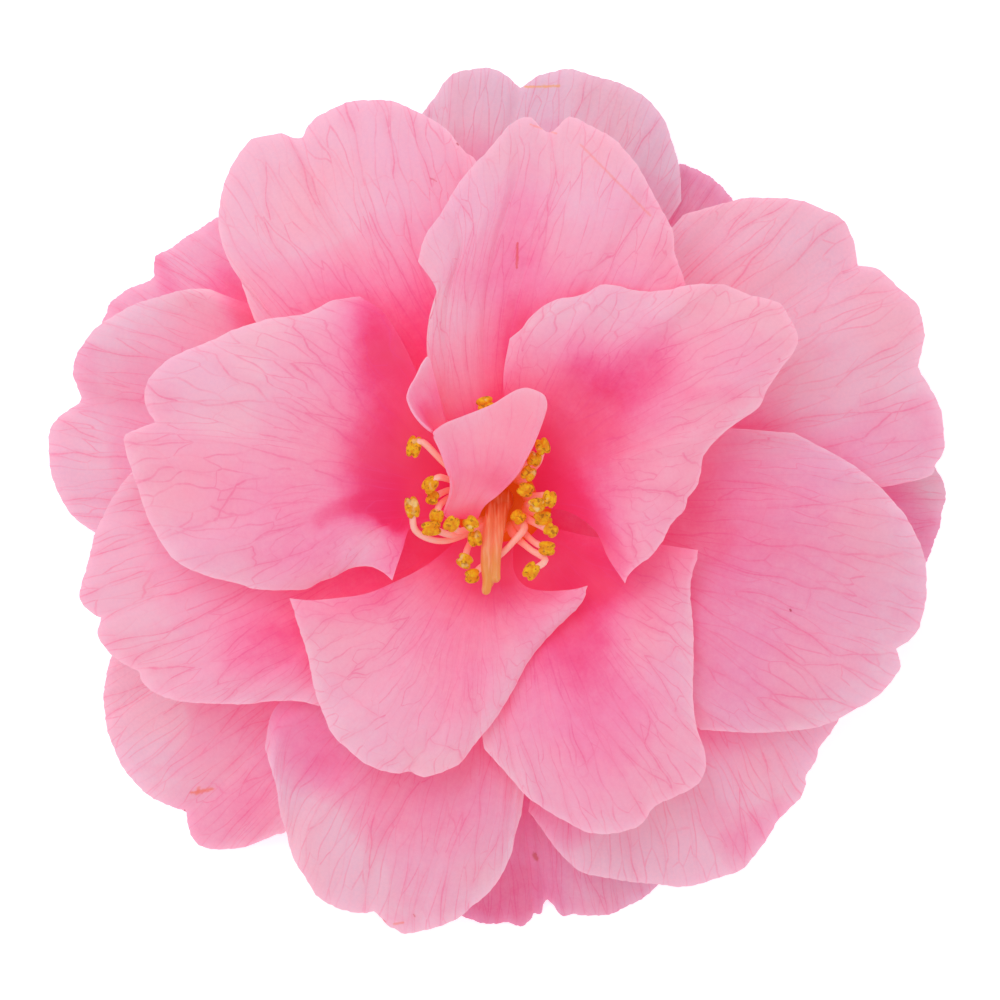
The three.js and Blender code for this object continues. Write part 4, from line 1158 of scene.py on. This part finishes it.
def veins(paint, across, along, seed, size, cells_across, cells_along, width, halo):
    """1 on a vein that is width millimetres wide, halo close by and 0 far off it.

    across and along are the piece's UV map, and size is its size as a share of a large petal's.
    """
    cells_across, cells_along = cells_across * size, cells_along * size
    # Bend the cells a little, and give each petal its own
    warp = paint.vector(across * 5, along * 4, seed * 3.7)
    x = across * cells_across + (paint.noise(warp, 1.0, 2.0) - 0.5) * 0.08 * cells_across + seed * 50
    y = along * cells_along + (paint.noise(warp, 2.3, 2.0) - 0.5) * 0.1 * cells_along
    near, next_near = (
        paint.node(
            "ShaderNodeTexVoronoi", {"voronoi_dimensions": "2D", "feature": feature},
            {"Vector": paint.vector(x, y), "Scale": 1.0}, output=2,
        )
        for feature in ("F1", "F2")
    )
    # The seam is halfway between the middles of the two nearest cells, square to the line that joins them
    across_gap = paint.part(next_near, 0) - paint.part(near, 0)
    along_gap = paint.part(next_near, 1) - paint.part(near, 1)
    middle_x = paint.part(near, 0) + across_gap * 0.5
    middle_y = paint.part(near, 1) + along_gap * 0.5
    to_seam = (middle_x - x) * across_gap + (middle_y - y) * along_gap
    # Turn the distance to it into millimetres
    petal_width = along.step(0.0, 1.0, CLAW_WIDTH, RIM_WIDTH)
    sideways = across_gap * cells_across / petal_width
    slope = paint.vector(sideways, along_gap * (cells_along / PETAL_LENGTH))
    slope = paint.node("ShaderNodeVectorMath", {"operation": "LENGTH"}, {0: slope}, output=1)
    away = to_seam / slope / width
    line = (1 - away.step(0.05, 0.75)).most((1 - away.step(0.0, 5.0)) * halo)
    # Some seams are left faint, and those that run along the petal are the strongest
    chance = paint.noise(paint.vector(middle_x, middle_y, seed), 2.7, 0.0)
    lengthwise = (abs(sideways) / slope).step(0.3, 0.8, 0.35, 1.0)
    return line * chance.step(0.34, 0.54, 0.25, 1.0) * lengthwise


# %% A brown stroke
def stroke(paint, spot, start, end, width):
    """1 on a short stroke between two points of the bloom seen from above, in millimetres."""
    (x0, y0), (x1, y1) = start, end
    length = max(math.hypot(x1 - x0, y1 - y0), 0.01)
    unit = ((x1 - x0) / length, (y1 - y0) / length)
    x, y = paint.part(spot, 0) / MM - x0, paint.part(spot, 1) / MM - y0
    forward = x * unit[0] + y * unit[1]
    sideways = abs(y * unit[0] - x * unit[1])
    past = (forward - length).most(forward * -1).most(0.0)
    ragged = paint.noise(spot, 2500.0, 2.0) * width * 1.6
    return 1 - (sideways + past + ragged).step(width * 0.9, width * 1.9)


# %% Pinks from claw to rim
# Near the claw the deep rose is partly the petal's own pigment and partly painted shade and pink bounce
# light
INNER_PINKS = [
    (0.0, (203, 42, 100)), (0.16, (208, 56, 115)), (0.34, (213, 98, 151)), (0.52, (216, 142, 182)),
    (0.74, (213, 167, 196)), (0.92, (208, 182, 205)), (1.0, (206, 193, 211)),
]
# The outer tiers' pinks are a little less red: painted shade on the outer petals
OUTER_PINKS = [
    (0.0, (196, 44, 98)), (0.16, (200, 58, 113)), (0.34, (205, 97, 147)), (0.52, (206, 138, 180)),
    (0.74, (204, 165, 195)), (0.92, (201, 183, 205)), (1.0, (199, 196, 213)),
]
VEIN_PINK = tint(204, 74, 138)
COOL, WARM = tint(206, 156, 206), tint(226, 166, 172)
FROST, RIM_LILAC = tint(228, 205, 216), tint(222, 206, 226)
# For each tier, the strength of a painted pink glow: painted light in place of the light that comes through
# the thin petals around, also in the shade
GLOW = {1: 0.17, 2: 0.18, 3: 0.28, 4: 0.28, 5: 0.3, 6: 0.3, 7: 0.3}
GLOW_PINK = tint(255, 40, 90)
# Petals that lie deep in the shade take their pink from nearer the claw
DEEPER = {"back_right": 0.35, "back_upper_right": 0.3, "back_bottom": 0.22, "outer_upper_left": 0.2}
print("petal colours run through", len(INNER_PINKS), "steps")

# %% Scratches and specks
# Start and end in mm, width in mm, colour and strength
MARKS = {
    "outer_top": [((3.0, 49.8), (7.2, 49.9), 0.22, tint(214, 178, 120), 0.8)],
    "inner_top": [
        ((3.6, 45), (6.8, 43.9), 0.16, tint(222, 150, 120), 0.5),
        ((9.6, 42.6), (18, 34.0), 0.2, tint(214, 150, 140), 0.5),
        ((2.1, 30.8), (2.0, 27.8), 0.22, tint(196, 96, 92), 0.75),
    ],
    "outer_lower_left": [
        ((-37.2, -35.3), (-34.6, -34.8), 0.34, tint(204, 128, 96), 0.75),
        ((-36.6, -35.5), (-36.2, -34.6), 0.3, tint(204, 128, 96), 0.5),
        ((-38, -37.4), (-38.2, -38.2), 0.14, tint(120, 60, 50), 0.8),
    ],
    "middle_bottom": [
        ((-14.2, -50.4), (-13.8, -50.7), 0.16, tint(190, 104, 104), 0.6),
        ((-12.8, -51), (-11.6, -50.8), 0.2, tint(206, 138, 110), 0.6),
        ((-10.4, -49.8), (-10.2, -50.1), 0.14, tint(180, 96, 90), 0.6),
    ],
    "back_bottom": [((4.1, -42.6), (4.4, -43.3), 0.4, tint(170, 92, 84), 0.7)],
    "middle_right": [((34.8, -13.1), (34.9, -13.3), 0.16, tint(120, 40, 50), 0.8)],
    "middle_upper_left": [
        ((-5.2, 42.8), (-5.0, 42.6), 0.16, tint(130, 60, 60), 0.7),
        ((-8.4, 38.6), (-7.6, 38.2), 0.14, tint(180, 80, 100), 0.5),
    ],
}


# %% The petal's finish
def petal_finish(name, seed, pinks, glow, deep=0.0, vein_strength=0.52, size=1.0, warm=0.25):
    """The finish of one petal. deep shifts it towards the claw's pink, and warm adds peach in patches."""
    paint = Paint(f"{name}_pink")
    uv, spot = paint.place("UV"), paint.place("Object")
    across, along = paint.part(uv, 0), paint.part(uv, 1)
    cloud = paint.noise(spot, 70.0, 3.0) - 0.5
    # The strokes' painted shade and painted light: more than 0 is deeper pink
    blush = paint.node("ShaderNodeAttribute", {"attribute_name": "blush"}, output="Fac")
    mottle = paint.noise(spot, 600.0, 3.0, 0.6) - 0.5
    depth = along + cloud * 0.25 + mottle * 0.2 - deep - blush
    colour = paint.ramp(depth, pinks)
    colour = paint.blend(paint.noise(spot, 45.0, 2.0).step(0.45, 0.75, 0.0, 0.22), colour, COOL)
    colour = paint.blend(paint.noise(spot, 60.0, 2.0).step(0.6, 0.3, 0.0, warm), colour, WARM)
    lines = veins(paint, across, along, seed, size, **MAIN_VEINS)
    threads = veins(paint, across, along, seed + 0.5, size, **FINE_VEINS)
    patchy = paint.noise(spot, 220.0, 3.0).step(0.35, 0.6, 0.45, 1.0)
    streaks = paint.noise(paint.vector(across * 110, along * 7, seed), 1.0, 2.0)
    streaks = streaks.step(0.3, 0.8, 0.0, 0.4) * along.step(0.3, 0.8, 1.0, 0.2)
    outward = along.step(0.15, 0.5, 0.2, 0.75)
    show = (lines * patchy).most(threads * patchy * outward).most(streaks)
    show = show * along.step(0.02, 0.3, 0.4, 1.0) * vein_strength
    colour = paint.blend(show, colour, VEIN_PINK)
    grain = paint.noise(spot, 2600.0, 3.0, 0.6)
    colour = paint.blend(grain.step(0.35, 0.65, 0.0, 0.14) * depth, colour, FROST)
    colour = paint.blend(along.step(0.965, 1.0, 0.0, 0.2), colour, RIM_LILAC)
    for start, end, width, mark_colour, strength in MARKS.get(name, ()):
        colour = paint.blend(stroke(paint, spot, start, end, width) * strength, colour, mark_colour)
    return paint.finish(
        BaseColor=colour, Roughness=grain.step(0.3, 0.7, 0.5, 0.62),
        Normal=paint.bump(grain, 0.006 * MM), Specular_IOR_Level=0.2,
        Subsurface_Weight=0.3, Subsurface_Radius=(1.0, 0.42, 0.45), Subsurface_Scale=1.5 * MM,
        # Painted light: the petal glows pink of its own
        Emission_Color=GLOW_PINK, Emission_Strength=glow,
    )


# %% Dress the petals and the petaloid
OUTER_TIERS = 4
for seed, (name, petal) in enumerate(PETALS.items()):
    pinks = OUTER_PINKS if petal["tier"] <= OUTER_TIERS else INNER_PINKS
    dress(petals[name], petal_finish(name, seed, pinks, GLOW[petal["tier"]], DEEPER.get(name, 0.0)))
dress(petaloid, petal_finish(
    "petaloid", 30, INNER_PINKS, GLOW[TIERS], deep=0.06, vein_strength=0.4, size=0.4, warm=0.45,
))

# %% [markdown]
# ## Stamens, pistil and calyx
# The filaments are orange where they leave the ring and pale pink at their tips. The pollen is a golden
# crust with brown flecks and cream where a sac shows. The style is peach with long streaks. The sepals
# are green and bronze under short silver hairs, and the receptacle is green with a brown scar below and
# an orange crown under the stamens.

# %% Filament finish
paint = Paint("filament_pink")
spot = paint.place()
height = paint.part(spot, 2) / MM + paint.noise(spot, 900.0) - 0.5
colour = paint.ramp(
    (height - 16) / 6.5,
    [(0.0, (226, 92, 14)), (0.3, (238, 116, 62)), (0.5, (244, 134, 120)), (1.0, (248, 182, 168))],
)
grain = paint.noise(spot, 4000.0)
dress(ring, paint.finish(
    BaseColor=colour, Roughness=grain.step(0.3, 0.7, 0.35, 0.5), Normal=paint.bump(grain, 0.03 * MM),
    Subsurface_Weight=0.3, Subsurface_Radius=(1.0, 0.5, 0.3), Subsurface_Scale=0.8 * MM,
    # Painted light: the filaments glow a little in their own colour
    Emission_Color=colour, Emission_Strength=0.18,
))

# %% Pollen finish
paint = Paint("pollen_gold")
spot = paint.place()
grains = paint.node("ShaderNodeTexVoronoi", {"feature": "F1"}, {"Vector": spot, "Scale": 6500.0})
clumps = paint.noise(spot, 1500.0, 3.0, 0.6)
colour = paint.blend(clumps.step(0.4, 0.62), tint(238, 150, 4), tint(254, 196, 16))
colour = paint.blend(paint.noise(spot, 1900.0, 2.0).step(0.54, 0.66, 0.0, 0.8), colour, tint(160, 88, 8))
colour = paint.blend(paint.noise(spot, 800.0, 1.0).step(0.62, 0.74, 0.0, 0.8), colour, tint(252, 214, 150))
dress(anthers, paint.finish(
    BaseColor=colour, Roughness=0.75, Normal=paint.bump(grains, 0.09 * MM, 0.8),
    Subsurface_Weight=0.15, Subsurface_Radius=(1.0, 0.7, 0.2), Subsurface_Scale=0.5 * MM,
    # Painted light: the pollen glows a little orange
    Emission_Color=tint(255, 140, 0), Emission_Strength=0.12,
))

# %% Style finish
paint = Paint("style_peach")
spot = paint.place()
height = paint.part(spot, 2) / MM
lengthways = paint.vector(paint.part(spot, 0) * 3200, paint.part(spot, 1) * 300, height * 0.1)
streaks = paint.noise(lengthways, 1.0, 2.0)
colour = paint.ramp(
    (height - 16) / 10,
    [
        (0.0, (214, 84, 6)), (0.2, (218, 92, 22)), (0.45, (232, 112, 66)), (0.75, (244, 136, 98)),
        (1.0, (232, 146, 66)),
    ],
)
colour = paint.blend(streaks.step(0.45, 0.7, 0.0, 0.5), colour, tint(255, 190, 150))
dress(pistil, paint.finish(
    BaseColor=colour, Roughness=streaks.step(0.3, 0.7, 0.3, 0.45), Normal=paint.bump(streaks, 0.08 * MM),
    Subsurface_Weight=0.3, Subsurface_Radius=(1.0, 0.5, 0.25), Subsurface_Scale=1.0 * MM,
    # Painted light: the style glows a little in its own colour
    Emission_Color=colour, Emission_Strength=0.1,
))

# %% Calyx finish
paint = Paint("calyx_green")
spot, uv = paint.place(), paint.place("UV")
blotches = paint.noise(spot, 260.0, 3.0)
hairs = paint.noise(paint.vector(paint.part(uv, 0) * 150, paint.part(uv, 1) * 14), 1.0, 2.0)
colour = paint.blend(blotches.step(0.35, 0.65), tint(122, 132, 62), tint(150, 112, 70))
colour = paint.blend(hairs.step(0.45, 0.7, 0.0, 0.4), colour, tint(206, 200, 160))
colour = paint.blend(paint.part(uv, 1).step(0.8, 1.0, 0.0, 0.6), colour, tint(96, 70, 48))
calyx = paint.finish(
    BaseColor=colour, Roughness=hairs.step(0.3, 0.7, 0.5, 0.7), Normal=paint.bump(hairs, 0.12 * MM),
    Sheen_Weight=0.3, Sheen_Roughness=0.3,
)
for sepal in sepals:
    dress(sepal, calyx)

# %% Receptacle finish
paint = Paint("receptacle_green")
spot = paint.place()
blotches = paint.noise(spot, 500.0, 3.0)
above_scar = paint.part(spot, 2).step(0.0, 0.6 * MM)
crown = paint.part(spot, 2).step(6.5 * MM, 9 * MM)
colour = paint.blend(blotches.step(0.35, 0.65), tint(128, 142, 70), tint(158, 150, 84))
colour = paint.blend(above_scar, tint(150, 110, 72), colour)
colour = paint.blend(crown, colour, tint(228, 98, 10))
dress(receptacle, paint.finish(
    BaseColor=colour, Roughness=blotches.step(0.3, 0.7, 0.5, 0.65), Normal=paint.bump(blotches, 0.1 * MM),
    # Painted light: the crown glows orange in the shade under the stamens
    Emission_Color=paint.blend(crown, tint(0, 0, 0), tint(236, 104, 4)), Emission_Strength=0.2,
))

# %% [markdown]
# ## Floor, light and camera
# The bloom lies on a plain, almost white floor. One broad light from the upper left and an even white
# surround keep the shadows between the petals soft. A long lens far above looks straight down.

# %% The floor
bpy.ops.object.select_all(action="DESELECT")
bpy.ops.mesh.primitive_plane_add(size=6, location=(0, 0, -0.02 * MM))
floor = bpy.context.object
floor.name = floor.data.name = "floor"
paint = Paint("floor_white")
dress(floor, paint.finish(
    BaseColor=tint(250, 250, 250), Roughness=0.9, Emission_Color=(1.0, 1.0, 1.0, 1.0), Emission_Strength=0.5,
))

# %% The light
SURROUND = 0.69
WINDOW_PLACE, WINDOW_SIZE, WINDOW_WATTS = (-0.24, 0.3, 0.8), 0.5, 1.5  # the first two in metres

scene = bpy.context.scene
scene.view_settings.view_transform = "Standard"
scene.view_settings.look = "None"
scene.world = bpy.data.worlds.new("studio")
scene.world.use_nodes = True
surround = scene.world.node_tree.nodes["Background"]
surround.inputs["Color"].default_value = (1.0, 1.0, 1.0, 1.0)
surround.inputs["Strength"].default_value = SURROUND
bpy.ops.object.light_add(type="AREA", location=WINDOW_PLACE)
window = bpy.context.object
window.name = "window"
window.data.size = WINDOW_SIZE
window.data.energy = WINDOW_WATTS
window.rotation_euler = window.location.to_track_quat("Z", "Y").to_euler()
print("the light is", round(window.location.length, 2), "m from the bloom")

# %% The camera
CAMERA_HEIGHT = 3.0  # metres
LENS, SENSOR = 895.5, 36  # mm

bpy.ops.object.camera_add(location=(0, 0, CAMERA_HEIGHT), rotation=(0, 0, 0))
camera = bpy.context.object
camera.name = "above"
camera.data.lens = LENS
camera.data.sensor_width = SENSOR
camera.data.clip_end = 20
scene.camera = camera
print("the view is", round(CAMERA_HEIGHT / LENS * SENSOR / MM), "mm wide at the floor")
